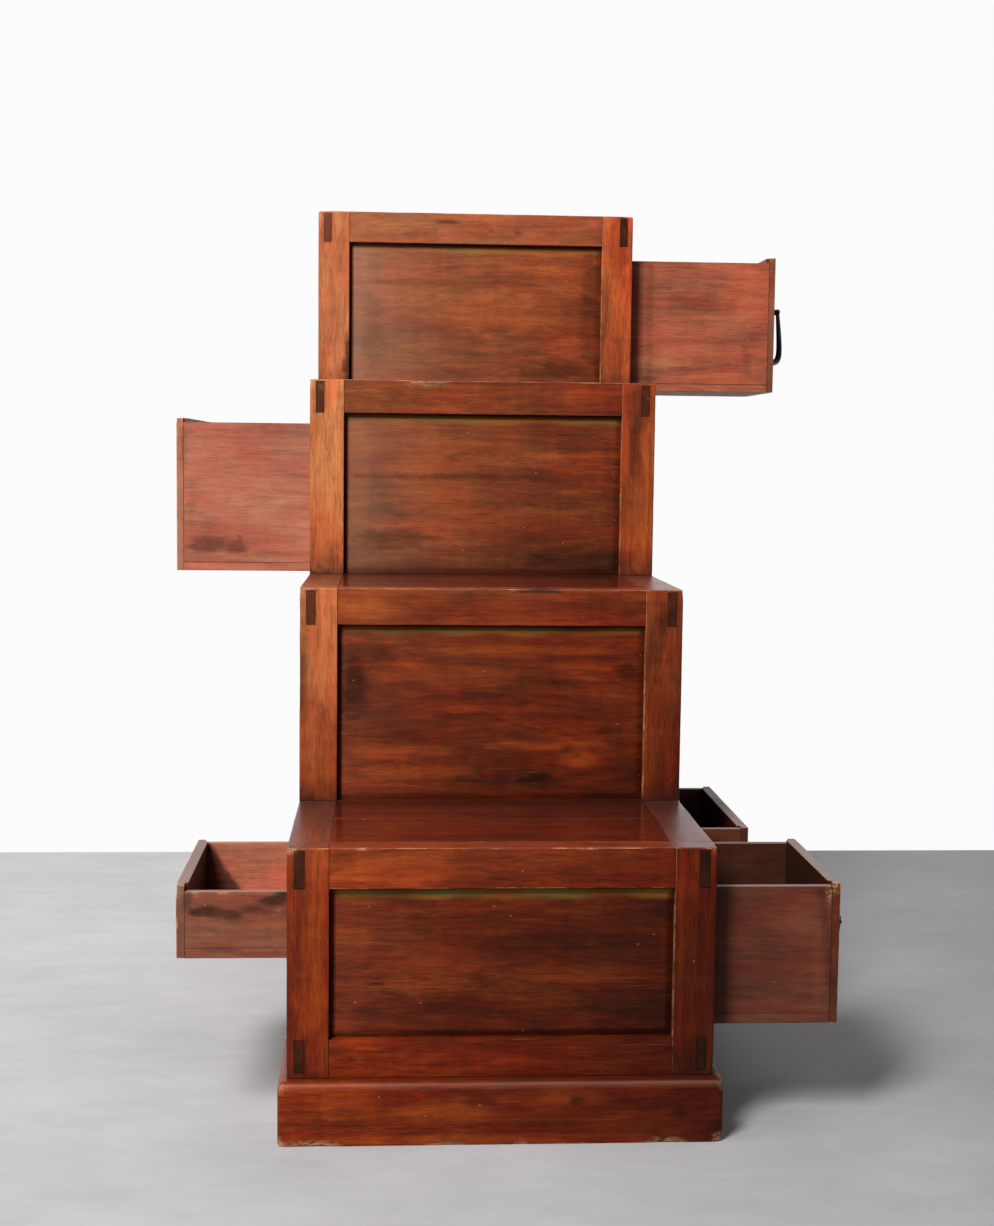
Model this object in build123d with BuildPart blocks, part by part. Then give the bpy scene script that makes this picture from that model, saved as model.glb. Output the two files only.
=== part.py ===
from build123d import *
from math import pi, sin
import os

os.makedirs("parts", exist_ok=True)

# Step chest: a stair of frames and boards, with drawers and a cupboard under its steps.
# X runs across the stair, Y the way the steps climb, and Z up.
# The origin lies on the underside of the front plinth board, in line with the lowest riser.

# Carcass
body_width = 460.0
step_run = 256.5
step_rises = [250.0, 256.5, 257.0, 253.0]
post_width = 45.0
post_depth = 30.0
front_rail_height = 44.0
front_base_rail_height = 41.5
base_side_rail_height = 45.5
low_side_rail_height = 45.0
side_rail_height = 51.0

# Plinth
plinth_height = 68.5
plinth_board = 26.0
plinth_front_reach = 18.0
plinth_side_reach = 9.0
plinth_rounding = 5.0
corner_block_leg = 42.0
corner_block_lift = 6.0

# Joints between the members
tenon_thickness = 11.0
tenon_setback = 8.0
tenon_shoulder = 3.0
tenon_height = 41.0
base_tenon_shoulder = 5.5
rail_stub_length = 18.0
rail_stub_thickness = 9.0
rail_stub_shoulder = 9.0
post_stub_length = 12.0
post_stub_width = 16.0
post_stub_depth = 12.0
joint_gap = 0.1

# Boards and panels
tread_thickness = 15.0
tread_tongue_length = 8.0
tread_tongue_thickness = 5.0
plank_width = 121.0
plank_gap = 0.4
panel_setback = 9.0
panel_thickness = 12.0
panel_bevel_width = 7.5
panel_bevel_depth = 3.0
panel_tongue_length = 6.0
panel_tongue_thickness = 5.0
side_panel_setback = 10.0
side_panel_thickness = 8.0
back_panel_setback = 14.0
back_panel_thickness = 10.0
wall_thickness = 10.0
guide_height = 20.0
dust_board_thickness = 7.0
dust_board_rise = 69.5
low_row_split = 560.5
middle_bay_relief = 6.5

# Drawers
drawer_end_gap = 1.5
drawer_under_gap = 0.5
drawer_top_gap = 1.5
drawer_rear_gap = 4.0
drawer_front_thickness = 13.0
drawer_front_rabbet = 4.0
drawer_side_thickness = 10.0
drawer_bottom_thickness = 11.0

# Bail pulls
bail_post_spacing = 84.0
bail_post_radius = 4.5
bail_post_length = 18.5
bail_plate_radius = 11.0
bail_plate_thickness = 2.0
bail_pin_radius = 2.0
bail_pin_gap = 0.08
bail_end_radius = 2.8
bail_grip_radius = 4.8
bail_eye_radius = 4.0
bail_arm_gap = 0.7
bail_pin_reach = 14.0
bail_drop = 74.0
bail_arm_length = 40.0
bail_arm_taper = 1.0
bail_corner_drop = 64.0
bail_corner_inset = 9.0
bail_sections = 8
bail_hang_lean = 6.5

# Ring pulls
ring_radius = 16.4
ring_wire_radius = 1.6
ring_reach = 5.2
ring_lug_radius = 4.2
ring_lug_length = 8.2
ring_hole_radius = 2.4
ring_plate_radius = 10.0
ring_plate_thickness = 1.6

# Sliding doors
sill_height = 10.0
head_height = 14.0
sill_groove_depth = 4.0
head_groove_depth = 9.0
track_inset = 3.0
door_thickness = 14.0
door_spacing = 17.0
door_face_setback = 4.0
door_tongue_thickness = 8.0
door_running_gap = 0.5
door_head_bite = 5.5
door_overlap = 40.0
door_end_gap = 1.0
door_stile = 40.0
door_rail = 34.0
door_panel_thickness = 6.0
door_pull_radius = 14.0
door_pull_wall = 1.5
door_pull_depth = 9.0
door_flange_radius = 17.5
door_flange_thickness = 1.2

# Worked out from the sizes above
left = -1
right = 1
half_width = body_width / 2
bay_half = half_width - post_width
step_count = len(step_rises)
total_run = step_run * step_count
back_post_face = total_run - post_depth
levels = [plinth_height]
for rise in step_rises:
    levels.append(levels[-1] + rise)
riser_faces = [step_run * step for step in range(step_count)]
tenon_outer = half_width - tenon_setback
tenon_inner = tenon_outer - tenon_thickness
post_middle = half_width - post_width / 2
panel_back = panel_setback + panel_thickness
back_panel_face = total_run - back_panel_setback - back_panel_thickness


def span(first, second):
    return (min(first, second), max(first, second))


def slab(x_span, y_span, z_span, mode=Mode.ADD):
    # A board that fills the three spans
    with BuildSketch(Plane.XY.offset(z_span[0])) as outline:
        with Locations(((x_span[0] + x_span[1]) / 2, (y_span[0] + y_span[1]) / 2)):
            Rectangle(x_span[1] - x_span[0], y_span[1] - y_span[0])
    extrude(outline.sketch, amount=z_span[1] - z_span[0], mode=mode)


def disc(plane, radius, length, mode=Mode.ADD, both=False):
    # A round bar or hole that starts on the plane and runs along its normal
    with BuildSketch(plane) as outline:
        Circle(radius)
    extrude(outline.sketch, amount=length, both=both, mode=mode)


def side_span(side, inner, outer):
    return span(side * inner, side * outer)


def side_rail_span(level):
    # Height span of the side rail at a level, where level 0 is the base
    if level == 0:
        return (levels[0], levels[0] + base_side_rail_height)
    height = low_side_rail_height if level == 1 else side_rail_height
    return (levels[level] - height, levels[level])


def side_tenon_span(level):
    if level == 0:
        return (levels[0] + base_tenon_shoulder, levels[0] + front_base_rail_height)
    top = levels[level] - tenon_shoulder
    return (top - tenon_height, top)


def cross_rail_span(level):
    # Height span of the front and back rails
    if level == 0:
        return (levels[0], levels[0] + front_base_rail_height)
    return (levels[level] - front_rail_height, levels[level])


def floor_of(row):
    # Height that the things in a row stand on, where row 1 is the lowest
    return side_rail_span(0)[1] if row == 1 else levels[row - 1]


def opening_of(row):
    # Height span of the side openings in a row
    return (floor_of(row), side_rail_span(row)[0])


def riser_opening_of(step):
    low = cross_rail_span(0)[1] if step == 1 else levels[step - 1]
    return (low, cross_rail_span(step)[0])


def cut_through_mortise(side, y_low, level):
    low, high = side_tenon_span(level)
    x_span = side_span(side, tenon_inner - joint_gap, tenon_outer + joint_gap)
    slab(x_span, (y_low, y_low + post_depth), (low - joint_gap, high + joint_gap), Mode.SUBTRACT)


def rail_stub_spans(side, y_low, level, grow=0.0):
    low, high = cross_rail_span(level)
    middle = y_low + post_depth / 2
    half = rail_stub_thickness / 2 + grow
    x_span = side_span(side, bay_half - joint_gap, bay_half + rail_stub_length + grow)
    z_span = (low + rail_stub_shoulder - grow, high - rail_stub_shoulder + grow)
    return x_span, (middle - half, middle + half), z_span


def post_stub_spans(side, y_low, z_from, z_to, grow=0.0):
    middle = y_low + post_depth / 2
    half_x = post_stub_width / 2 + grow
    half_y = post_stub_depth / 2 + grow
    x_middle = side * post_middle
    return (x_middle - half_x, x_middle + half_x), (middle - half_y, middle + half_y), span(z_from, z_to)


def panel_groove_offset():
    return panel_setback + panel_bevel_depth + panel_tongue_thickness / 2


def finish(block, label):
    block.part.label = label
    export_step(block.part, f"parts/{label}.step")


# Plinth: boards on edge under the carcass, proud of it on every side

plinth_half = half_width + plinth_side_reach
plinth_back = total_run + plinth_side_reach

with BuildPart() as plinth_ends:
    for y_low in (-plinth_front_reach, plinth_back - plinth_board):
        slab((-plinth_half, plinth_half), (y_low, y_low + plinth_board), (0, plinth_height))
    top_edges = plinth_ends.edges().filter_by(Axis.X).group_by(Axis.Z)[-1].sort_by(Axis.Y)
    fillet([top_edges[0], top_edges[-1]], plinth_rounding)
finish(plinth_ends, "plinth_ends")

with BuildPart() as plinth_sides:
    for side in (left, right):
        y_span = (plinth_board - plinth_front_reach, plinth_back - plinth_board)
        slab(side_span(side, plinth_half - plinth_board, plinth_half), y_span, (0, plinth_height))
    top_edges = plinth_sides.edges().filter_by(Axis.Y).group_by(Axis.Z)[-1].sort_by(Axis.X)
    fillet([top_edges[0], top_edges[-1]], plinth_rounding)
finish(plinth_sides, "plinth_sides")

with BuildPart() as plinth_blocks:
    inner_half = plinth_half - plinth_board
    inner_ends = ((plinth_board - plinth_front_reach, 1), (plinth_back - plinth_board, -1))
    with BuildSketch(Plane.XY.offset(corner_block_lift)):
        for side in (left, right):
            for y_corner, inward in inner_ends:
                with BuildLine():
                    corner = (side * inner_half, y_corner)
                    along_x = (side * (inner_half - corner_block_leg), y_corner)
                    along_y = (side * inner_half, y_corner + inward * corner_block_leg)
                    Polyline(corner, along_x, along_y, close=True)
                make_face()
    extrude(amount=plinth_height - corner_block_lift)
finish(plinth_blocks, "plinth_blocks")


# Posts

mid_post_places = [
    (left, 1, riser_faces[1]),
    (left, 1, riser_faces[2]),
    (left, 1, riser_faces[3]),
    (left, 2, riser_faces[2]),
    (left, 2, riser_faces[3]),
    (right, 1, riser_faces[1]),
    (right, 1, low_row_split),
    (right, 3, riser_faces[3]),
]

for step in range(1, step_count + 1):
    y_low = riser_faces[step - 1]
    with BuildPart() as step_posts:
        for side in (left, right):
            x_span = side_span(side, bay_half, half_width)
            slab(x_span, (y_low, y_low + post_depth), (levels[step - 1], levels[step]))
            cut_through_mortise(side, y_low, step)
            slab(*rail_stub_spans(side, y_low, step, joint_gap), Mode.SUBTRACT)
            groove_half = panel_tongue_thickness / 2 + joint_gap
            groove_middle = y_low + panel_groove_offset()
            groove_low, groove_high = riser_opening_of(step)
            if step == 1:
                cut_through_mortise(side, y_low, 0)
                slab(*rail_stub_spans(side, y_low, 0, joint_gap), Mode.SUBTRACT)
                groove_low -= panel_tongue_length + joint_gap
            else:
                foot = levels[step - 1]
                slab(*post_stub_spans(side, y_low, foot - post_stub_length, foot))
            slab(
                side_span(side, bay_half, bay_half + panel_tongue_length + joint_gap),
                (groove_middle - groove_half, groove_middle + groove_half),
                (groove_low, groove_high + panel_tongue_length + joint_gap),
                Mode.SUBTRACT,
            )
    finish(step_posts, f"step_{step}_posts")

with BuildPart() as back_posts:
    for side in (left, right):
        x_span = side_span(side, bay_half, half_width)
        slab(x_span, (back_post_face, total_run), (levels[0], levels[-1]))
        for level in range(step_count + 1):
            cut_through_mortise(side, back_post_face, level)
            slab(*rail_stub_spans(side, back_post_face, level, joint_gap), Mode.SUBTRACT)
finish(back_posts, "back_posts")

with BuildPart() as mid_posts:
    for side, row, y_low in mid_post_places:
        low, high = opening_of(row)
        slab(side_span(side, bay_half, half_width), (y_low, y_low + post_depth), (low, high))
        slab(*post_stub_spans(side, y_low, low - post_stub_length, low))
        slab(*post_stub_spans(side, y_low, high, high + post_stub_length))
finish(mid_posts, "mid_posts")


# Side rails, with a through tenon at each end and a groove for the ends of the boards


def side_rail(side, level, y_front):
    low, high = side_rail_span(level)
    tenon_low, tenon_high = side_tenon_span(level)
    slab(side_span(side, bay_half, half_width), (y_front + post_depth, back_post_face), (low, high))
    for y_span in ((y_front, y_front + post_depth), (back_post_face, total_run)):
        slab(side_span(side, tenon_inner, tenon_outer), y_span, (tenon_low, tenon_high))
    groove_middle = high - tread_thickness / 2
    groove_half = tread_tongue_thickness / 2 + joint_gap
    slab(
        side_span(side, bay_half, bay_half + tread_tongue_length + joint_gap),
        (y_front + post_depth, back_post_face),
        (groove_middle - groove_half, groove_middle + groove_half),
        Mode.SUBTRACT,
    )
    if level == 1 and side == right:
        bay_y = (riser_faces[1] + post_depth, low_row_split)
        slab(side_span(side, bay_half, half_width), bay_y, (low, low + middle_bay_relief), Mode.SUBTRACT)
    feet = [riser_faces[level]] if 1 <= level < step_count else []
    feet += [y_low for post_side, row, y_low in mid_post_places if post_side == side and row == level + 1]
    if level == 0:
        feet = [y_low for post_side, row, y_low in mid_post_places if post_side == side and row == 1]
    heads = [y_low for post_side, row, y_low in mid_post_places if post_side == side and row == level]
    depth = post_stub_length + joint_gap
    for y_low in feet:
        slab(*post_stub_spans(side, y_low, high - depth, high, joint_gap), Mode.SUBTRACT)
    for y_low in heads:
        slab(*post_stub_spans(side, y_low, low, low + depth, joint_gap), Mode.SUBTRACT)


for level in range(step_count + 1):
    y_front = riser_faces[max(level - 1, 0)]
    with BuildPart() as side_rails:
        for side in (left, right):
            side_rail(side, level, y_front)
    finish(side_rails, "base_side_rails" if level == 0 else f"step_{level}_side_rails")


# Front and back rails, stub tenoned between the posts


def cross_rail(y_low, level):
    slab((-bay_half, bay_half), (y_low, y_low + post_depth), cross_rail_span(level))
    for side in (left, right):
        slab(*rail_stub_spans(side, y_low, level))


def cut_panel_groove(y_low, z_low):
    groove_half = panel_tongue_thickness / 2 + joint_gap
    groove_middle = y_low + panel_groove_offset()
    depth = panel_tongue_length + joint_gap
    y_span = (groove_middle - groove_half, groove_middle + groove_half)
    slab((-bay_half, bay_half), y_span, (z_low, z_low + depth), Mode.SUBTRACT)


for step in range(1, step_count + 1):
    y_low = riser_faces[step - 1]
    with BuildPart() as front_rail:
        cross_rail(y_low, step)
        cut_panel_groove(y_low, riser_opening_of(step)[1])
    finish(front_rail, f"step_{step}_front_rail")

with BuildPart() as base_front_rail:
    cross_rail(riser_faces[0], 0)
    cut_panel_groove(riser_faces[0], riser_opening_of(1)[0] - panel_tongue_length - joint_gap)
finish(base_front_rail, "base_front_rail")

with BuildPart() as back_rails:
    for level in range(step_count + 1):
        cross_rail(back_post_face, level)
finish(back_rails, "back_rails")


# Panels: the risers have a bevelled field and a tongue that sits in the frame's grooves

for step in range(1, step_count + 1):
    y_face = riser_faces[step - 1] + panel_setback
    low, high = riser_opening_of(step)
    with BuildPart() as riser_panel:
        field_plane = Plane(origin=(0, y_face, (low + high) / 2), x_dir=(1, 0, 0), z_dir=(0, -1, 0))
        with BuildSketch(field_plane.offset(-panel_bevel_depth)):
            Rectangle(2 * bay_half - 2 * joint_gap, high - low - 2 * joint_gap)
        with BuildSketch(field_plane):
            Rectangle(2 * (bay_half - panel_bevel_width), high - low - 2 * panel_bevel_width)
        loft()
        body_y = (y_face + panel_bevel_depth, y_face + panel_thickness)
        slab((joint_gap - bay_half, bay_half - joint_gap), body_y, (low + joint_gap, high - joint_gap))
        tongue_half = bay_half + panel_tongue_length
        tongue_low = low - panel_tongue_length if step == 1 else low + joint_gap
        tongue_y = (body_y[0], body_y[0] + panel_tongue_thickness)
        slab((-tongue_half, tongue_half), tongue_y, (tongue_low, high + panel_tongue_length))
    finish(riser_panel, f"step_{step}_panel")

side_panel_places = [
    (left, 1, riser_faces[1] + post_depth, riser_faces[2]),
    (left, 1, riser_faces[2] + post_depth, riser_faces[3]),
    (left, 1, riser_faces[3] + post_depth, back_post_face),
    (left, 2, riser_faces[1] + post_depth, riser_faces[2]),
    (left, 2, riser_faces[2] + post_depth, riser_faces[3]),
    (left, 2, riser_faces[3] + post_depth, back_post_face),
    (left, 4, riser_faces[3] + post_depth, back_post_face),
    (right, 3, riser_faces[2] + post_depth, riser_faces[3]),
    (right, 3, riser_faces[3] + post_depth, back_post_face),
]

side_panel_outer = half_width - side_panel_setback
side_panel_inner = side_panel_outer - side_panel_thickness

with BuildPart() as side_panels:
    for side, row, y_low, y_high in side_panel_places:
        slab(side_span(side, side_panel_inner, side_panel_outer), (y_low, y_high), opening_of(row))
finish(side_panels, "side_panels")

with BuildPart() as back_panels:
    for row in range(1, step_count + 1):
        y_span = (back_panel_face, back_panel_face + back_panel_thickness)
        slab((-bay_half, bay_half), y_span, riser_opening_of(row))
finish(back_panels, "back_panels")


# Boards: planks laid across, tongued into the side rails, as floor of one row and step over another


def planks(y_low, y_high, z_top):
    count = max(1, round((y_high - y_low) / plank_width))
    pitch = (y_high - y_low) / count
    tongue_middle = z_top - tread_thickness / 2
    tongue_half = tread_tongue_thickness / 2
    tongue_end = bay_half + tread_tongue_length
    for plank in range(count):
        y_start = y_low + plank * pitch
        y_span = (y_start + plank_gap / 2, y_start + pitch - plank_gap / 2)
        slab((-bay_half, bay_half), y_span, (z_top - tread_thickness, z_top))
        slab((-tongue_end, tongue_end), y_span, (tongue_middle - tongue_half, tongue_middle + tongue_half))


with BuildPart() as floor_board:
    planks(riser_faces[0] + post_depth, back_post_face, floor_of(1))
finish(floor_board, "floor_board")

for step in range(1, step_count + 1):
    with BuildPart() as step_board:
        planks(riser_faces[step - 1] + post_depth, back_post_face, levels[step])
    finish(step_board, f"step_{step}_board")


# Inner walls of the lowest row, and the strips that guide the drawers

walls_top = levels[1] - tread_thickness
first_wall = riser_faces[1] + (post_depth - wall_thickness) / 2
second_wall = low_row_split + (post_depth - wall_thickness) / 2
dust_board_low = floor_of(1) + dust_board_rise
dust_board_top = dust_board_low + dust_board_thickness

with BuildPart() as partitions:
    for y_low in (first_wall, second_wall):
        slab((-bay_half, bay_half), (y_low, y_low + wall_thickness), (floor_of(1), walls_top))
    centre_wall_y = (riser_faces[0] + post_depth, first_wall - joint_gap)
    slab((-wall_thickness / 2, wall_thickness / 2), centre_wall_y, (floor_of(1), walls_top))
    slab(
        (-half_width, -wall_thickness / 2 - joint_gap),
        (riser_faces[0] + post_depth, riser_faces[1]),
        (dust_board_low, dust_board_top),
    )
finish(partitions, "partitions")

strip_places = []
for y_span in ((panel_back, post_depth), (riser_faces[1], first_wall - joint_gap)):
    strip_places.append(((-bay_half, -wall_thickness / 2 - joint_gap), y_span, floor_of(1)))
    strip_places.append(((wall_thickness / 2 + joint_gap, bay_half), y_span, floor_of(1)))
    strip_places.append(((-bay_half, -wall_thickness / 2 - joint_gap), y_span, dust_board_top))
strip_places.append(
    ((-bay_half, bay_half), (first_wall + wall_thickness, riser_faces[1] + post_depth), floor_of(1))
)
strip_places.append(((-bay_half, bay_half), (low_row_split, second_wall), floor_of(1)))
strip_places.append(
    ((-bay_half, bay_half), (second_wall + wall_thickness, low_row_split + post_depth), floor_of(1))
)
for row, first_step in ((3, 3), (4, 4)):
    front = riser_faces[first_step - 1]
    strip_places.append(((-bay_half, bay_half), (front + panel_back, front + post_depth), floor_of(row)))
for row in (1, 3, 4):
    strip_places.append(((-bay_half, bay_half), (back_post_face, back_panel_face), floor_of(row)))

with BuildPart() as drawer_guides:
    for x_span, y_span, z_low in strip_places:
        slab(x_span, y_span, (z_low, z_low + guide_height))
finish(drawer_guides, "drawer_guides")


# Drawers: a front over two sides, a back between them, and a bottom under them

full_length = half_width + bay_half - drawer_rear_gap
half_length = half_width - wall_thickness / 2 - drawer_rear_gap
low_span = opening_of(1)

drawers = {
    "top_drawer": {
        "side": right,
        "bay": (riser_faces[3] + post_depth, back_post_face),
        "opening": opening_of(4),
        "length": full_length,
        "pulled_out": 220.0,
        "lips": (8.0, 8.0),
        "pull": "bail",
        "pull_rise": 24.0,
        "bail_lift": 11.4,
    },
    "long_drawer": {
        "side": left,
        "bay": (riser_faces[2] + post_depth, back_post_face),
        "opening": opening_of(3),
        "length": full_length,
        "pulled_out": 179.0,
        "lips": (5.5, 5.5),
        "pull": "bail",
        "pull_rise": 24.0,
        "bail_lift": 0.0,
    },
    "upper_shallow_drawer": {
        "side": left,
        "bay": (riser_faces[0] + post_depth, riser_faces[1]),
        "opening": (dust_board_top, low_span[1]),
        "length": half_length,
        "pulled_out": 120.0,
        "lips": (8.0, 2.5),
        "pull": "ring",
        "pull_rise": 14.0,
    },
    "lower_shallow_drawer": {
        "side": left,
        "bay": (riser_faces[0] + post_depth, riser_faces[1]),
        "opening": (low_span[0], dust_board_low),
        "length": half_length,
        "pulled_out": 0.0,
        "lips": (2.5, 2.5),
        "pull": "ring",
        "pull_rise": 14.0,
    },
    "deep_drawer": {
        "side": right,
        "bay": (riser_faces[0] + post_depth, riser_faces[1]),
        "opening": low_span,
        "length": half_length,
        "pulled_out": 143.0,
        "lips": (4.0, 4.0),
        "pull": "bail",
        "pull_rise": 19.0,
        "bail_lift": 0.0,
    },
    "middle_drawer": {
        "side": right,
        "bay": (riser_faces[1] + post_depth, low_row_split),
        "opening": (low_span[0], low_span[1] + middle_bay_relief),
        "length": full_length,
        "pulled_out": 92.5,
        "lips": (2.0, 2.0),
        "pull": "bail",
        "pull_rise": 19.0,
        "bail_lift": 0.0,
    },
    "wide_drawer": {
        "side": right,
        "bay": (low_row_split + post_depth, back_post_face),
        "opening": low_span,
        "length": full_length,
        "pulled_out": 0.0,
        "lips": (2.0, 2.0),
        "pull": "bail",
        "pull_rise": 19.0,
        "bail_lift": 0.0,
    },
}


def drawer_face(drawer):
    # The outer face of the drawer front, as far out as the drawer is pulled
    return drawer["side"] * (half_width + drawer["pulled_out"])


def drawer_y(drawer):
    return (drawer["bay"][0] + drawer_end_gap, drawer["bay"][1] - drawer_end_gap)


def drawer_z(drawer):
    return (drawer["opening"][0] + drawer_under_gap, drawer["opening"][1] - drawer_top_gap)


def pivot_height(drawer):
    low, high = drawer_z(drawer)
    return (low + high) / 2 + drawer["pull_rise"]


def drawer_box(drawer):
    # The front is rabbeted on its back, so it laps over the ends of the sides and of the bottom
    side = drawer["side"]
    face = drawer_face(drawer)
    y_low, y_high = drawer_y(drawer)
    z_low, z_high = drawer_z(drawer)
    rabbet_face = face - side * (drawer_front_thickness - drawer_front_rabbet)
    front_back = face - side * drawer_front_thickness
    body_start = rabbet_face - side * joint_gap
    rear = face - side * drawer["length"]
    inner_y = (y_low + drawer_side_thickness + joint_gap, y_high - drawer_side_thickness - joint_gap)
    wall_low = z_low + drawer_bottom_thickness + joint_gap
    near_rim, far_rim = (z_high - lip for lip in drawer["lips"])
    slab(span(face, rabbet_face), (y_low, y_high), (z_low, z_high))
    slab(span(rabbet_face, front_back), inner_y, (wall_low, z_high))
    slab(span(body_start, rear), (y_low, y_high), (z_low, z_low + drawer_bottom_thickness))
    for y_wall, rim in ((y_low, near_rim), (y_high - drawer_side_thickness, far_rim)):
        slab(span(body_start, rear), (y_wall, y_wall + drawer_side_thickness), (wall_low, rim))
    slab(span(rear, rear + side * drawer_side_thickness), inner_y, (wall_low, min(near_rim, far_rim)))


def bail_posts(drawer):
    side = drawer["side"]
    y_middle = sum(drawer_y(drawer)) / 2
    height = pivot_height(drawer)
    for y in (y_middle - bail_post_spacing / 2, y_middle + bail_post_spacing / 2):
        seat = Plane(origin=(drawer_face(drawer), y, height), z_dir=(side, 0, 0))
        disc(seat, bail_plate_radius, bail_plate_thickness)
        disc(seat, bail_post_radius, bail_post_length)
        eye_x = drawer_face(drawer) + side * bail_pin_reach
        eye = Plane(origin=(eye_x, y, height), z_dir=(0, 1, 0))
        disc(eye, bail_pin_radius + bail_pin_gap, 2 * bail_post_radius, Mode.SUBTRACT, both=True)


# The shape of every bail, with its pins on the Y axis and its rod hanging along -Z

bail_arm = bail_post_spacing / 2 + bail_post_radius + bail_arm_gap + bail_eye_radius

with BuildPart() as bail_shape:
    half_path = [
        (0, bail_arm, 0),
        (0, bail_arm, -bail_arm_length / 2),
        (0, bail_arm - bail_arm_taper, -bail_arm_length),
        (0, bail_arm - bail_corner_inset, -bail_corner_drop),
    ]
    other_half = [(x, -y, z) for x, y, z in reversed(half_path)]
    with BuildLine():
        rod_path = Spline(*half_path, (0, 0, -bail_drop), *other_half, tangents=[(0, 0, -1), (0, 0, 1)])
    rod_sections = []
    for station in range(bail_sections + 1):
        share = station / bail_sections
        with BuildSketch(Plane(origin=rod_path @ share, z_dir=rod_path % share)) as rod:
            Circle(bail_end_radius + (bail_grip_radius - bail_end_radius) * sin(pi * share))
        rod_sections.append(rod.sketch)
    sweep(rod_sections, path=rod_path, multisection=True)
    pin_inner = bail_post_spacing / 2 - bail_post_radius - bail_arm_gap
    for end in (-1, 1):
        pivot = (0, end * bail_arm, 0)
        with Locations(pivot):
            Sphere(bail_eye_radius)
        disc(Plane(origin=pivot, z_dir=(0, -end, 0)), bail_pin_radius, bail_arm - pin_inner)


def bail(drawer):
    # A hanging bail leans back to the drawer front, and a lifted one has swung away from there
    side = drawer["side"]
    pivot = (drawer_face(drawer) + side * bail_pin_reach, sum(drawer_y(drawer)) / 2, pivot_height(drawer))
    turn = Rotation(0, 0, 0 if side == right else 180)
    lean = Rotation(0, bail_hang_lean - drawer["bail_lift"], 0)
    add(bail_shape.part.moved(Location(pivot) * turn * lean))


def ring_lug(drawer):
    side = drawer["side"]
    y_middle = sum(drawer_y(drawer)) / 2
    height = pivot_height(drawer)
    seat = Plane(origin=(drawer_face(drawer), y_middle, height), z_dir=(side, 0, 0))
    disc(seat, ring_plate_radius, ring_plate_thickness)
    disc(seat, ring_lug_radius, ring_lug_length)
    eye_x = drawer_face(drawer) + side * ring_reach
    eye = Plane(origin=(eye_x, y_middle, height), z_dir=(0, 1, 0))
    disc(eye, ring_hole_radius, 2 * ring_lug_radius, Mode.SUBTRACT, both=True)


def ring(drawer):
    y_middle = sum(drawer_y(drawer)) / 2
    centre_x = drawer_face(drawer) + drawer["side"] * ring_reach
    centre = (centre_x, y_middle, pivot_height(drawer) - ring_radius)
    with Locations(Location(centre, (0, 90, 0))):
        Torus(ring_radius, ring_wire_radius)


for name, drawer in drawers.items():
    with BuildPart() as box_boards:
        drawer_box(drawer)
    finish(box_boards, f"{name}_box")
    with BuildPart() as pull_base:
        if drawer["pull"] == "bail":
            bail_posts(drawer)
        else:
            ring_lug(drawer)
    finish(pull_base, f"{name}_pull_base")
    with BuildPart() as pull:
        if drawer["pull"] == "bail":
            bail(drawer)
        else:
            ring(drawer)
    finish(pull, f"{name}_{drawer['pull']}")


# Cupboard in the second row: two doors that slide past each other in grooved tracks

cupboard_y = (riser_faces[1] + post_depth, back_post_face)
cupboard_low, cupboard_high = opening_of(2)
sill_top = cupboard_low + sill_height
head_low = cupboard_high - head_height
outer_door_face = half_width - door_face_setback
door_faces = {"front_door": outer_door_face, "rear_door": outer_door_face - door_spacing}
door_width = (cupboard_y[1] - cupboard_y[0] - 2 * door_end_gap + door_overlap) / 2
door_starts = {
    "front_door": cupboard_y[0] + door_end_gap,
    "rear_door": cupboard_y[1] - door_end_gap - door_width,
}

with BuildPart() as door_tracks:
    track_x = (bay_half + track_inset, half_width)
    slab(track_x, cupboard_y, (cupboard_low, sill_top))
    slab(track_x, cupboard_y, (head_low, cupboard_high))
    for face in door_faces.values():
        middle = face - door_thickness / 2
        groove_half = door_tongue_thickness / 2 + door_running_gap
        x_span = (middle - groove_half, middle + groove_half)
        slab(x_span, cupboard_y, (sill_top - sill_groove_depth, sill_top), Mode.SUBTRACT)
        slab(x_span, cupboard_y, (head_low, head_low + head_groove_depth), Mode.SUBTRACT)
finish(door_tracks, "door_tracks")

door_low = sill_top + door_running_gap
door_high = head_low - door_running_gap


def pull_plane(name):
    # Each pull sits in the door's outer stile, the one at the end of the cupboard
    y = door_starts[name] + door_stile / 2
    if name == "rear_door":
        y = door_starts[name] + door_width - door_stile / 2
    return Plane(origin=(door_faces[name], y, (door_low + door_high) / 2), z_dir=(1, 0, 0))


def door(name):
    face = door_faces[name]
    back = face - door_thickness
    middle = face - door_thickness / 2
    y_low = door_starts[name]
    y_high = y_low + door_width
    tongue_x = (middle - door_tongue_thickness / 2, middle + door_tongue_thickness / 2)
    for y_span in ((y_low, y_low + door_stile), (y_high - door_stile, y_high)):
        slab((back, face), y_span, (door_low, door_high))
        slab(tongue_x, y_span, (sill_top - sill_groove_depth + door_running_gap, door_low))
        slab(tongue_x, y_span, (door_high, head_low + door_head_bite))
    rail_y = (y_low + door_stile + joint_gap, y_high - door_stile - joint_gap)
    slab((back, face), rail_y, (door_low, door_low + door_rail))
    slab((back, face), rail_y, (door_high - door_rail, door_high))
    panel_x = (middle - door_panel_thickness / 2, middle + door_panel_thickness / 2)
    slab(panel_x, rail_y, (door_low + door_rail + joint_gap, door_high - door_rail - joint_gap))
    bore_radius = door_pull_radius + door_pull_wall + joint_gap
    disc(pull_plane(name), bore_radius, -door_pull_depth - joint_gap, Mode.SUBTRACT)


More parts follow.
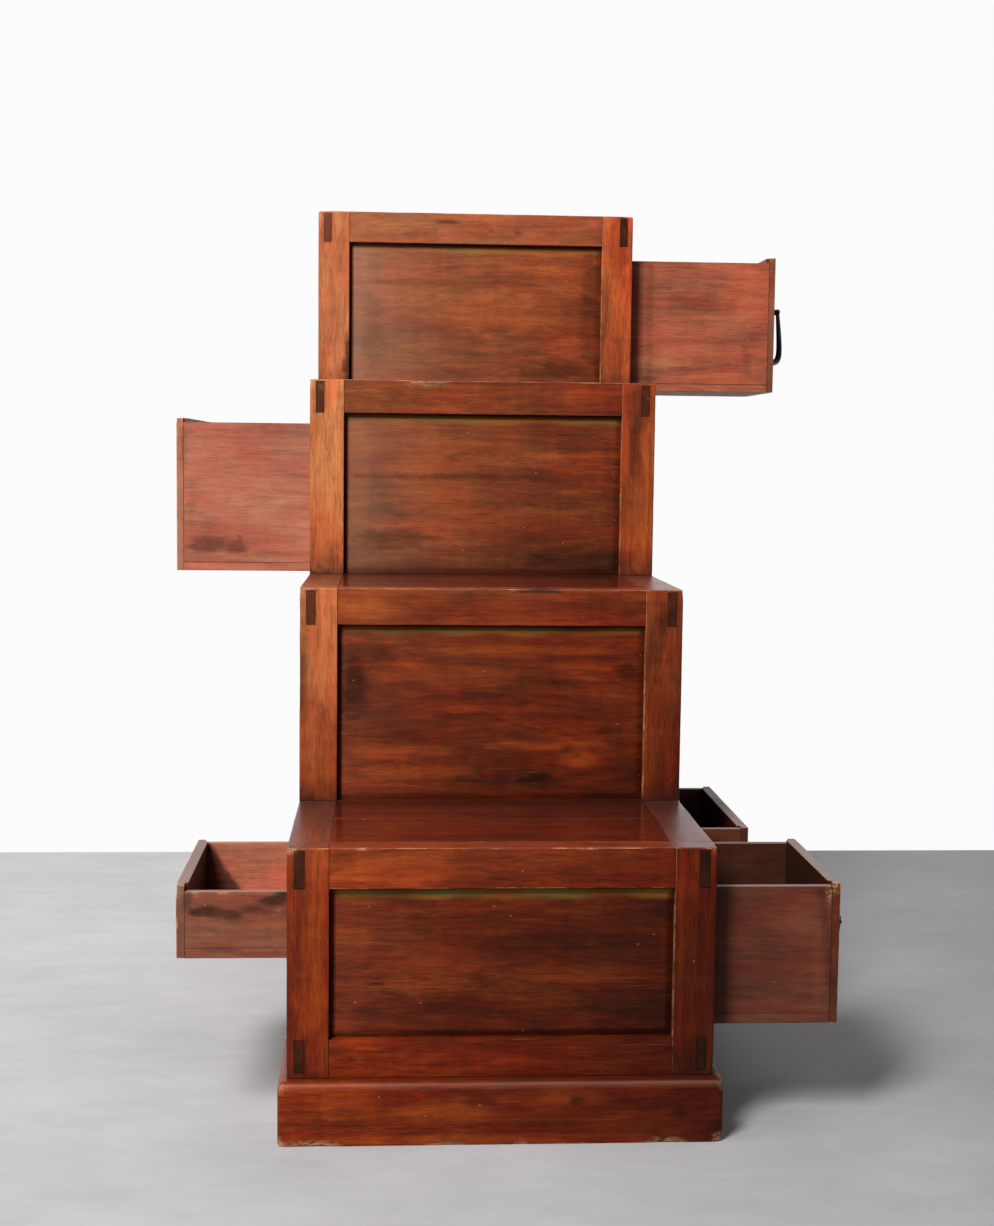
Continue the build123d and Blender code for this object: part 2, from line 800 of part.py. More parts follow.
def door_pull(name):
    cup_length = door_pull_depth + door_flange_thickness
    cup_mouth = pull_plane(name).offset(door_flange_thickness)
    disc(cup_mouth, door_pull_radius + door_pull_wall, -cup_length)
    disc(cup_mouth, door_flange_radius, -door_flange_thickness)
    disc(cup_mouth, door_pull_radius, door_pull_wall - cup_length, Mode.SUBTRACT)


for name in door_faces:
    with BuildPart() as door_boards:
        door(name)
    finish(door_boards, name)
    with BuildPart() as door_cup:
        door_pull(name)
    finish(door_cup, f"{name}_pull")
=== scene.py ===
import itertools
import math
import bpy
import numpy as np
from mathutils import Matrix, Vector


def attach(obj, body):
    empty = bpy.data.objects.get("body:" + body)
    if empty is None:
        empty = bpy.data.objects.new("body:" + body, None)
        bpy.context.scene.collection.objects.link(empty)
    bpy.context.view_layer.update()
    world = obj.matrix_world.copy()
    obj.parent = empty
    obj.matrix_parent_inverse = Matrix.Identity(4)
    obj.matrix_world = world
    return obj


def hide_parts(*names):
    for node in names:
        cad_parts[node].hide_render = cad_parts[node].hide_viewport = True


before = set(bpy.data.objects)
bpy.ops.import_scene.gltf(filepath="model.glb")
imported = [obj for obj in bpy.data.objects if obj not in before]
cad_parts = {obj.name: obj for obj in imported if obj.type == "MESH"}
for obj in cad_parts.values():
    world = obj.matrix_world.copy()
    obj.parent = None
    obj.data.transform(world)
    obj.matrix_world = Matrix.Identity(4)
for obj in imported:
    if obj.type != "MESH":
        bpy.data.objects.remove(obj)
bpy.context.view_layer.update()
scene = bpy.context.scene

# Sizes of the chest in millimetres, in the frame of the CAD model
chest = {
    "half": 230.0,  # half the body's width
    "bay": 185.0,  # half the width between the posts
    "post": 30.0,  # post depth along the run
    "run": 256.5,  # depth of one step
    "back": 1026.0,
    "levels": [68.5, 318.5, 575.0, 832.0, 1085.0],  # tops of the plinth and of the steps
    "floor": 114.0,  # top of the floor board
    "sideRails": [45.5, 45.0, 51.0, 51.0, 51.0],  # heights, from the base up
    "frontRail": 44.0,
    "baseRail": 41.5,
    "tenons": [(74.0, 110.0), (274.5, 315.5), (531.0, 572.0), (788.0, 829.0), (1041.0, 1082.0)],
    "tenonX": (211.0, 222.0),
    "tread": 15.0,
    "split": 560.5,  # face of the post between the middle and the wide drawer
    "relief": 6.5,  # cut under the rail over the middle drawer
    "gap": 0.06,  # open joint between two members, each side
}
plinth = {"half": 239.0, "front": -18.0, "back": 1035.0, "board": 26.0}
half, bay, post, gap, tread = (chest[key] for key in ("half", "bay", "post", "gap", "tread"))
levels = chest["levels"]
floors = [chest["floor"], levels[1], levels[2], levels[3]]
ceilings = [levels[k] - chest["sideRails"][k] for k in (1, 2, 3, 4)]
risers = [chest["run"] * k for k in range(4)]
backPost = chest["back"] - post


def latticeNoise(points, cell, seed):
    # Each lattice corner has a random value from -1 to 1, and a point takes the smooth blend of the eight
    # corners round it
    place = points / cell
    base = np.floor(place).astype(np.int64)
    part = place - base
    part = part * part * (3 - 2 * part)
    total = np.zeros(len(points))
    for corner in range(8):
        bit = np.array([corner & 1, corner >> 1 & 1, corner >> 2 & 1])
        at = base + bit
        mixed = at[:, 0] * 73856093 ^ at[:, 1] * 19349663 ^ at[:, 2] * 83492791 ^ (seed * 7919 + 101)
        mixed = (mixed ^ mixed >> 13) * 1274126177
        value = (mixed >> 8 & 65535) / 32767.5 - 1
        total += value * np.prod(np.where(bit, part, 1 - part), axis=1)
    return total


def layeredNoise(points, cell, seed, layers=3):
    # Sum of noises, each with half the cell and half the weight of the one before
    weights = [0.5 ** k for k in range(layers)]
    parts = [w * latticeNoise(points, cell * w, seed + k) for k, w in enumerate(weights)]
    return sum(parts) / sum(weights)


def ramp(value, low, high):
    # Smooth step: 0 at low, 1 at high
    share = np.clip((value - low) / (high - low), 0, 1)
    return share * share * (3 - 2 * share)


def roundOff(depth, radius):
    # How far each point moves inwards from its planes, given its distance inwards from each of them: a point
    # within the radius of two or more planes moves to the ball of that radius that touches them
    reach = np.maximum(radius - depth, 0)
    length = np.sqrt((reach ** 2).sum(axis=1, keepdims=True))
    scale = np.where(length > radius, radius / np.maximum(length, 1e-9), 1)
    return np.where(reach > 0, radius - reach * scale - depth, 0)


def soften(points, planes, radius):
    # Rounds the edges between planes, each given as axis, direction outwards and place
    depth = np.stack([way * (place - points[:, axis]) for axis, way, place in planes], axis=1)
    shift = roundOff(depth, np.broadcast_to(radius, len(points))[:, None])
    out = points.copy()
    for k, (axis, way, place) in enumerate(planes):
        out[:, axis] -= way * shift[:, k]
    return out


def ruler(low, high, step, near, cuts=()):
    # Row places along one axis: close rows beside both ends, even steps between, and a row at each cut
    near = [n for n in near if n < (high - low) * 0.45]
    inner = near[-1] if near else 0.0
    count = max(1, int(round((high - low - 2 * inner) / step)))
    even = np.linspace(low + inner, high - inner, count + 1)
    rows = [low, high, *even, *(low + n for n in near), *(high - n for n in near)]
    cuts = [c for c in cuts if low + 0.05 < c < high - 0.05]
    rows = [r for r in rows if all(abs(r - c) > 0.35 for c in cuts) or r in (low, high)]
    return np.unique(np.round(np.array(rows + cuts), 4))


def shell(rows, solid):
    # Outer faces of the full cells of a lattice: one quad between each full cell and an empty neighbour
    shape = np.array([len(r) for r in rows])
    full = np.pad(solid, 1)
    quads = []
    for axis in range(3):
        u, v = (axis + 1) % 3, (axis + 2) % 3
        crop = [slice(1, -1)] * 3
        crop[axis] = slice(0, -1)
        before = full[tuple(crop)]
        crop[axis] = slice(1, None)
        after = full[tuple(crop)]
        stepU, stepV = np.eye(3, dtype=int)[u], np.eye(3, dtype=int)[v]
        for mask, order in ((before & ~after, (0, 1, 2, 3)), (after & ~before, (3, 2, 1, 0))):
            at = np.argwhere(mask)
            ring = [at, at + stepU, at + stepU + stepV, at + stepV]
            ids = [(r[:, 0] * shape[1] + r[:, 1]) * shape[2] + r[:, 2] for r in ring]
            quads.append(np.stack([ids[k] for k in order], axis=1))
    quads = np.concatenate(quads)
    used, compact = np.unique(quads, return_inverse=True)
    x, y, z = used // (shape[1] * shape[2]), used // shape[2] % shape[1], used % shape[2]
    points = np.stack([rows[0][x], rows[1][y], rows[2][z]], axis=1)
    return points, compact.reshape(-1, 4)


# Sunk places: x, y, z, reach along x, reach along y and z, depth, and how bare the wood is there
chips = [
    (-74, 513, 832, 31, 9, 2.9, 0.85), (-97, 513, 829, 6, 6, 1.4, 0.5), (-215, 513, 826, 5, 12, 0.9, 0.2),
    (-229, 513, 832, 7, 6, 1.6, 0.5), (42, 256.5, 575, 12, 6, 1.6, 0.2), (66, 256.5, 575, 19, 6, 2.6, 0.1),
    (-228, 256.5, 574, 8, 11, 2.2, 0.5), (-229, 256.5, 540, 4, 26, 0.7, 0.1),
    (-229, 256.5, 470, 4, 50, 0.7, 0.0), (230, 256.5, 572, 7, 7, 1.1, 0.2), (-226, 0, 318, 9, 7, 1.5, 0.6),
    (228, 0, 318, 7, 8, 1.2, 0.3), (-150, 0, 318.5, 9, 3, 0.6, 0.6), (90, 0, 318.5, 12, 3, 0.6, 0.6),
    (-226, 769.5, 1084, 7, 7, 1.3, 0.1), (226, 769.5, 1085, 6, 6, 0.9, 0.1), (-237, -18, 66, 7, 7, 1.6, 0.7),
    (238, -18, 66, 7, 8, 1.8, 0.4), (-238, -18, 3, 9, 7, 1.6, 0.8), (236, -18, 3, 9, 8, 2.0, 0.8),
    (-60, -18, 1, 26, 3, 1.0, 0.35), (178, -18, 1, 24, 3.5, 1.2, 0.7), (20, -18, 1, 9, 3, 0.8, 0.4),
    (-200, -18, 1, 34, 4.5, 1.0, 0.8), (-340, 31.5, 272, 9, 9, 2.4, 0.5), (-349, 36, 266, 5, 9, 2.0, 0.5),
    (-331, 31.5, 264, 6, 5, 0.9, 0.7), (366, 31.5, 268, 7, 8, 1.3, 0.9), (360, 31.5, 258, 4, 7, 0.6, 0.9),
    (-405, 544.5, 777, 6, 8, 1.4, 0.3), (444, 801, 1030, 5, 7, 1.0, 0.3), (-300, 31.5, 263.5, 8, 3, 0.6, 0.6),
    (-240, 31.5, 244, 3, 1.8, 0.3, 0.6),
]

# Dark marks by step, with 0 for the plinth, and by drawer: spots of x, z, half width, half height and
# strength, and strokes from x, z to x, z with half width and strength
darkMarks = {
    0: [(81, 48, 9, 5, 0.62), (195, 32, 9, 7, 0.52), (150, 44, 50, 7, 0.3), (-120, 30, 80, 6, 0.25),
        (20, 22, 60, 5, 0.3)],
    1: [(-138, 169, 12, 1.6, 0.7), (60, 215, 110, 12, 0.3), (-90, 142, 90, 14, 0.4), (120, 140, 60, 12, 0.4),
        (206, 220, 12, 60, 0.35), (-60, 240, 70, 6, 0.3), (190, 90, 30, 10, 0.3)],
    2: [(130, 553, 70, 14, 0.27), (-165, 456, 15, 34, 0.62), (-145, 492, 34, 20, 0.35), (99, 459, 26, 8, 0.55),
        (166, 474, 16, 10, 0.62), (143, 405, 24, 7, 0.55), (43, 342, 12, 3.5, 0.9), (60, 346, 13, 5.5, 1.0),
        (57, 572.5, 27, 3.0, 0.95), (-110, 392, 70, 10, 0.3), (20, 420, 100, 5, 0.3), (160, 360, 22, 26, 0.35),
        (205, 540, 8, 22, 0.45), (-204, 380, 8, 50, 0.3), (103, 372, 7, 4, 0.4), (-225, 470, 6, 60, 0.45)],
    3: [(208, 800, 14, 44, 0.42), (-75, 812, 55, 14, 0.2), (172, 700, 12, 60, 0.3), (203, 750, 8, 50, 0.5),
        (194, 806, 8, 26, 0.4), (-190, 806, 5, 20, 0.35), (-60, 705, 120, 5, 0.4), (40, 668, 130, 6, 0.35),
        (-120, 622, 50, 14, 0.4), (130, 600, 80, 14, 0.5), (178, 592, 10, 14, 0.6), (60, 742, 90, 5, 0.3),
        (-200, 600, 10, 22, 0.4), (-70, 828, 28, 4, 0.5)],
    4: [(208, 1035, 14, 60, 0.38), (30, 1062, 130, 14, 0.22), (-36, 1071, 30, 2.2, 0.7), (20, 1061, 6, 3, 0.5),
        (62, 1060, 8, 3, 0.5), (-188, 868, 5, 34, 0.9), (-150, 905, 18, 60, 0.25), (120, 860, 60, 14, 0.35),
        (170, 940, 16, 84, 0.45), (-60, 985, 90, 6, 0.25), (60, 940, 110, 7, 0.2)],
    "upper_shallow_drawer": [
        (-322, 243, 17, 7, 0.72), (-318, 241, -284, 238, 6, 0.66), (-286, 238, -256, 251, 5.5, 0.6),
        (-256, 251, -232, 259, 6, 0.68), (-290, 243, 62, 15, 0.32), (-338, 254, 6, 14, 0.5),
        (-305, 200, 26, 5, 0.42), (-262, 196, 24, 4, 0.3)],
    "long_drawer": [
        (-366, 612, 26, 12, 0.52), (-330, 606, 16, 9, 0.5), (-325, 610, 5, 12, 0.45), (-282, 598, 24, 5, 0.28),
        (-388, 676, 8, 34, 0.2), (-400, 745, 5, 26, 0.3)],
    "top_drawer": [
        (260, 1018, 262, 842, 6, 0.3), (300, 966, 380, 958, 14, 0.28), (405, 900, 412, 858, 6, 0.3),
        (330, 878, 400, 874, 8, 0.25)],
    "deep_drawer": [
        (352, 262, 366, 150, 5, 0.35), (250, 150, 340, 146, 8, 0.3), (262, 232, 300, 200, 16, 0.25)],
}

# Brighter orange spots, with the same numbers
warmMarks = {
    0: [(0, 6, 220, 5, 0.5), (60, 50, 60, 8, 0.5), (-170, 45, 40, 10, 0.4), (-60, 36, 50, 8, 0.4),
        (150, 20, 50, 9, 0.4)],
    1: [(-120, 296, 80, 16, 0.45), (-60, 190, 70, 16, 0.3), (80, 180, 60, 10, 0.25), (-205, 180, 12, 60, 0.3)],
    2: [(-160, 553, 34, 16, 0.7), (103, 366, 20, 10, 0.8), (-60, 470, 80, 14, 0.45), (-110, 378, 70, 8, 0.6),
        (-70, 352, 60, 8, 0.5), (60, 385, 60, 6, 0.6), (40, 500, 120, 6, 0.4), (-208, 360, 10, 40, 0.5)],
    3: [(135, 812, 30, 14, 0.3), (-165, 705, 14, 80, 0.5), (-62, 700, 55, 52, 0.6), (20, 735, 70, 20, 0.35),
        (-206, 660, 12, 60, 0.45), (208, 640, 14, 60, 0.35)],
    4: [(-150, 1062, 50, 16, 0.5), (20, 946, 70, 30, 0.7), (-60, 965, 60, 16, 0.4), (95, 935, 34, 20, 0.4),
        (208, 960, 10, 90, 0.25)],
    "upper_shallow_drawer": [(-287, 252, 24, 6, 0.6), (-250, 232, 26, 8, 0.4)],
    "long_drawer": [(-330, 690, 50, 26, 0.25), (-330, 582, 60, 5, 0.4)],
    "top_drawer": [(405, 985, 30, 40, 0.5), (350, 850, 60, 10, 0.3)],
    "deep_drawer": [(332, 238, 18, 18, 0.5), (350, 190, 8, 46, 0.5)],
}


def markField(points, marks):
    # Strongest of the marks at each point, falling off with the square of the distance on the x-z plane from
    # a spot's middle or a stroke's line, with wandering borders
    total = np.zeros(len(points))
    if not marks:
        return total
    wobble = layeredNoise(points * (0.6, 1, 1.5), 11.0, 31)
    place = points[:, [0, 2]]
    for mark in marks:
        if len(mark) == 5:
            far = ((place - mark[:2]) / mark[2:4]) ** 2
            far = far.sum(axis=1)
        else:
            start, run = np.array(mark[:2]), np.array(mark[2:4]) - mark[:2]
            share = np.clip(((place - start) @ run) / (run @ run), 0, 1)
            far = ((place - start - share[:, None] * run) ** 2).sum(axis=1) / mark[4] ** 2
        total = np.maximum(total, mark[-1] * ramp(-far + 1.2 * wobble, -2.0, 0.1))
    return total


def chipField(points):
    # Depth and bareness of the sunk places, each falling off with the square of the distance, on a ragged floor
    ragged = 0.75 + 0.5 * layeredNoise(points, 5.0, 17)
    depth, bare = np.zeros(len(points)), np.zeros(len(points))
    for x, y, z, reach, across, deep, bareness in chips:
        far = (((points - (x, y, z)) / (reach, across, across)) ** 2).sum(axis=1)
        depth = np.maximum(depth, deep * np.clip(1 - far, 0, 1) * ragged)
        bare = np.maximum(bare, bareness * np.clip(1.3 * (1 - far), 0, 1))
    return depth, bare


def stairPlanes(points):
    # Distance inwards from the front, the top and the nearer side of the stair's outline at each point
    tier = np.clip(np.searchsorted(levels[1:], points[:, 2] - 0.01), 0, 3)
    step = np.clip((points[:, 1] / chest["run"]).astype(int), 0, 3)
    front = points[:, 1] - np.array(risers)[tier]
    top = np.array(levels[1:])[step] - points[:, 2]
    side = half - np.abs(points[:, 0])
    return front, top, side


def wearStair(points):
    # Rounds the stair's outer arrises, by a radius that wanders along them
    front, top, side = stairPlanes(points)
    radius = 1.7 + 0.9 * latticeNoise(points, 37.0, 5) + 0.5 * latticeNoise(points, 9.0, 6)
    shift = roundOff(np.stack([front, top, side], axis=1), radius[:, None])
    out = points.copy()
    out[:, 1] += shift[:, 0]
    out[:, 2] -= shift[:, 1]
    out[:, 0] -= np.sign(points[:, 0]) * shift[:, 2]
    return out


# The finish has faded towards the top left and darkened towards the lower right; the lightness ramp also paints
# the light's falloff, lighter at the upper left and painted shade at the lower right
fadeAndFalloffRamps = {
    "left": 1.02, "rightLow": 0.36, "rightRise": 1.30,  # lightness on the left, low on the right, and its rise
    "sunLow": 170.0, "sunHigh": 720.0, "sunRight": 0.82,  # heights, and the share of bleaching lost rightwards
}


def fadeAndFalloff(points):
    # Lightness and bleaching of the finish at each point, both even ramps across the width and up the height;
    # the lightness is partly painted light and shade
    share = np.clip(points[:, 0] / 414 + 0.5, 0, 1)
    right = fadeAndFalloffRamps["rightLow"] + fadeAndFalloffRamps["rightRise"] * np.clip((points[:, 2] - 190) / 770, -0.05, 1.15)
    light = fadeAndFalloffRamps["left"] * (1 - share) + right * share
    sun = ramp(points[:, 2], fadeAndFalloffRamps["sunLow"], fadeAndFalloffRamps["sunHigh"]) * (1.0 - fadeAndFalloffRamps["sunRight"] * share)
    return light, sun


# How a board looks where nothing else is said
plainBoard = {
    "light": 1.0,  # lightness of the finish
    "sun": 1.0,  # share of the bleaching at its place, or the bleaching itself where the board isn't faded
    "faded": True,  # whether lightness and bleaching follow the place on the chest, with its painted light and shade
    "step": 9.0,  # spacing of the lattice
    "rows": "fine",  # close rows beside the edges
    "radius": 0.4,  # rounding of the arrises
    "wave": 0.12,  # depth of the waves in its faces
    "holes": (),  # boxes cut out of it
    "stair": False,  # lies on the outline of the stair, whose arrises are worn
    "plinth": False,
    "panel": None,  # olive tint under the rail, on a riser's panel, painted paler as light over the rail's shadow
    "marks": None,  # which marks it bears
    "grime": 0.0,  # dirt all over
    "joint": 0.32,  # dirt beside the joints
    "dust": 0.0,  # on faces that look up
    "haze": 0.0,  # pale bloom of the finish, and the painted highlight on the plinth's top arris
    "ink": 0.0,  # blackness, for the ends of the tenons
    "rub": 0.0,  # width of the rubbed edges
    "bleed": 0.0,  # dirt round the ends of the tenons
    "foot": 0.0,  # dirt at a post's foot
    "footRub": False,  # whether the lower front edge is rubbed
    "wallRub": 0.0,  # painted highlight on the lit wall of the recess, in broken lengths
    "band": 0.0,  # painted shadow of the body's side on a drawer that stands half open
    "inner": None,  # place of a drawer front's face, and painted shade on its unfinished back
    "paler": 0.0,  # extra lightness of a drawer front's near end
    "nook": None,  # place of the drawer front whose painted shadow falls on the far wall
    "second": False,  # whether it takes the piece's second material
}


def board(x, y, z, grain, **looks):
    # One piece of wood: spans in millimetres, direction of the grain and how it has aged
    return plainBoard | looks | {"x": sorted(x), "y": sorted(y), "z": sorted(z), "grain": grain}


closeRows = {"fine": (0.25, 0.7, 1.6, 3.2), "plain": (0.5, 1.6), "panel": (0.3, 1.6, 4.0, 7.0, 8.2)}
boardNumbers = itertools.count(1)  # each board's own seed


def latticeBox(b, low, high, holes):
    # Points and quads of a box with its holes, on a lattice whose rows are close beside the edges
    rows = []
    for axis in range(3):
        cuts = {round(float(v), 4) for hole in holes for v in hole[axis]}
        rows.append(ruler(low[axis], high[axis], b["step"], closeRows[b["rows"]], sorted(cuts)))
    middles = [(r[1:] + r[:-1]) / 2 for r in rows]
    solid = np.ones([len(m) for m in middles], bool)
    for hole in holes:
        inside = [(m > hole[a][0]) & (m < hole[a][1]) for a, m in enumerate(middles)]
        solid[np.ix_(*inside)] = False
    return shell(rows, solid)


# Riser panels: millimetres, and painted shade beside the frame as amount and reach
panelShadeAndTint = {
    "slope": 3.0, "slopeWidth": 7.5, "olive": 9.0, "oliveWander": 2.5, "haze": 70,
    "left": (0.9, 4.4), "right": (0.25, 5), "foot": (0.4, 5), "top": (0.85, 1.6),
}


def agePanel(b, aged, rest, low, high, seed):
    # Raised field: the front slopes back evenly near the frame, painted shade falls off from each side of the
    # frame, and a wandering band under the rail has turned olive and is painted paler, as light over the rail's
    # shadow
    fromTop, fromLeft = high[2] - rest[:, 2], rest[:, 0] - low[0]
    fromRight, fromFoot = high[0] - rest[:, 0], rest[:, 2] - low[2]
    border = np.minimum(np.minimum(fromLeft, fromRight), np.minimum(fromFoot, fromTop))
    isFront = rest[:, 1] < low[1] + 0.01
    sloped = panelShadeAndTint["slope"] * np.clip(1 - border / panelShadeAndTint["slopeWidth"], 0, 1)
    aged["place"][:, 1] += np.where(isFront, sloped, 0)
    left, right, foot, top = (panelShadeAndTint[key] for key in ("left", "right", "foot", "top"))
    # Painted shade in the recess: darker beside the left post, the right post, the foot and under the rail
    aged["grime"] += (left[0] * np.exp(-(fromLeft / left[1]) ** 2) + right[0] * np.exp(-fromRight / right[1])
                      + foot[0] * np.exp(-fromFoot / foot[1]))
    aged["grime"] += top[0] * np.exp(-(fromTop / top[1]) ** 2)
    alongRail = rest * (1, 0, 0)
    # The olive band is partly the finish's tint and partly a painted highlight: paler than the panel where the
    # rail's shadow falls
    band = panelShadeAndTint["olive"] + panelShadeAndTint["oliveWander"] * latticeNoise(alongRail, 40.0, seed)
    olive = ramp(fromTop, 1.5, 3.2) * ramp(-fromTop, -band - 5, -band + 2) * b["panel"]
    olive *= ramp(fromLeft, 3, 12) * (0.85 + 0.5 * latticeNoise(alongRail, 55.0, seed + 1))
    aged["olive"] = olive
    aged["haze"] = b["haze"] * np.exp(-fromLeft / panelShadeAndTint["haze"]) * ramp(fromLeft, 2, 9)


def ageFaces(b, aged, rest, low, high, seed):
    # Arrises rounded by a radius that wanders a little, and a haze in soft clouds
    planes = [(a, way, (low, high)[way > 0][a]) for a in range(3) for way in (-1, 1)]
    radius = b["radius"] * (1 + 0.45 * latticeNoise(rest, 21.0, seed))
    aged["place"] = soften(aged["place"], planes, radius)
    aged["haze"] = b["haze"] * (0.7 + 0.5 * layeredNoise(rest, 40.0, seed + 2))


def agePlinth(aged, rest, seed):
    # Top arris rounded, the foot's edge rubbed, dirt on the ledge beside the body and a painted highlight over
    # the top arris
    front, back, side, top = plinth["front"], plinth["back"], plinth["half"], levels[0]
    outer = [(1, -1, front), (1, 1, back), (0, -1, -side), (0, 1, side), (2, 1, top)]
    aged["place"] = soften(aged["place"], outer, 4.6 + 0.8 * latticeNoise(rest, 50.0, seed))
    fromSide = side - np.abs(rest[:, 0])
    nearest = np.sort(np.stack([rest[:, 2], rest[:, 1] - front, fromSide], axis=1), axis=1)[:, 1]
    aged["edge"] = np.where(rest[:, 2] < 12, nearest, aged["edge"])
    ledge = np.minimum(np.minimum(rest[:, 1] - front, back - rest[:, 1]), fromSide)
    aged["grime"] += ramp(rest[:, 2], 67.5, 68.4) * (0.25 + 0.45 * ramp(ledge, 3, 11))
    # Painted highlight: pale haze along the plinth's top arris
    aged["haze"] += 0.16 * ramp(rest[:, 2], 60, 68) * ramp(-ledge, -4, -1)


# Dirt and painted shade on the stair as amount and reach in millimetres: dirt behind the arrises and at the
# posts' feet, and painted shade and a painted reflection of the riser on the treads beside the next riser
stairDirtAndShade = {"arris": (0.35, 1.2), "foot": 34, "corner": (0.5, 7), "tread": (1.2, 75)}


def ageStair(b, aged, rest, low, crumbs):
    # Arrises rounded and rubbed, dirt behind them, dirt at the posts' feet, and painted shade where a tread
    # meets the riser
    aged["place"] = wearStair(aged["place"])
    front, top, side = stairPlanes(rest)
    arris = np.maximum(front, top)
    edge = np.minimum(aged["edge"], 0.5 + arris)
    corner = np.maximum(np.minimum(front, top), side)
    edge = np.minimum(edge, 1.4 + 1.6 * corner)
    amount, reach = stairDirtAndShade["arris"]
    aged["grime"] += amount * np.exp(-corner / reach) * ramp(front + top, 4, 20)
    if b["footRub"]:
        edge = np.minimum(edge, 0.6 + np.maximum(rest[:, 2] - low[2], rest[:, 1] - low[1]))
    aged["edge"] = edge
    fromFoot = np.clip(1 - (rest[:, 2] - low[2]) / stairDirtAndShade["foot"], 0, 1)
    aged["grime"] += b["foot"] * fromFoot ** 1.2 * (0.95 + 0.7 * crumbs)
    # Painted shade and reflection: the tread darkens towards the next riser, close in for the shaded corner and
    # far out for the riser's dark reflection
    step = np.clip((rest[:, 1] / chest["run"]).astype(int), 0, 3)
    toRiser = np.abs(np.array(risers + [1e4])[step + 1] - rest[:, 1])
    close, wide = stairDirtAndShade["corner"], stairDirtAndShade["tread"]
    treadShade = close[0] * np.exp(-toRiser / close[1]) + wide[0] * np.exp(-toRiser / wide[1])
    aged["grime"] += np.where(top < 1, treadShade, 0)


def tenonRims(b, holes, rest, crumbs):
    # Dirt round the ends of the tenons, falling off with the distance from each one
    rims = np.zeros(len(rest))
    for hole in holes:
        over = np.maximum(hole[[0, 2], 0] - rest[:, [0, 2]], rest[:, [0, 2]] - hole[[0, 2], 1])
        reach = np.sqrt((np.maximum(over, 0) ** 2).sum(axis=1))
        rims = np.maximum(rims, b["bleed"] * np.exp(-reach / 2.6) * (0.75 + 0.6 * crumbs))
    return rims


def recessWallLight(b, rest, low, seed):
    # Which points lie on the wall of the recess, and how pale its painted highlight is there, in broken lengths
    # up its height
    wall = (rest[:, 0] < low[0] + 0.6) & (rest[:, 1] < low[1] + 9.5)
    upwards = rest * (0, 0, 1)
    broken = latticeNoise(upwards, 26.0, seed) + 0.6 * latticeNoise(upwards, 7.0, seed + 1)
    return wall, b["wallRub"] * (0.35 + 0.6 * ramp(broken, -0.7, 0.4)) * ramp(rest[:, 2] - low[2], 0, 12)


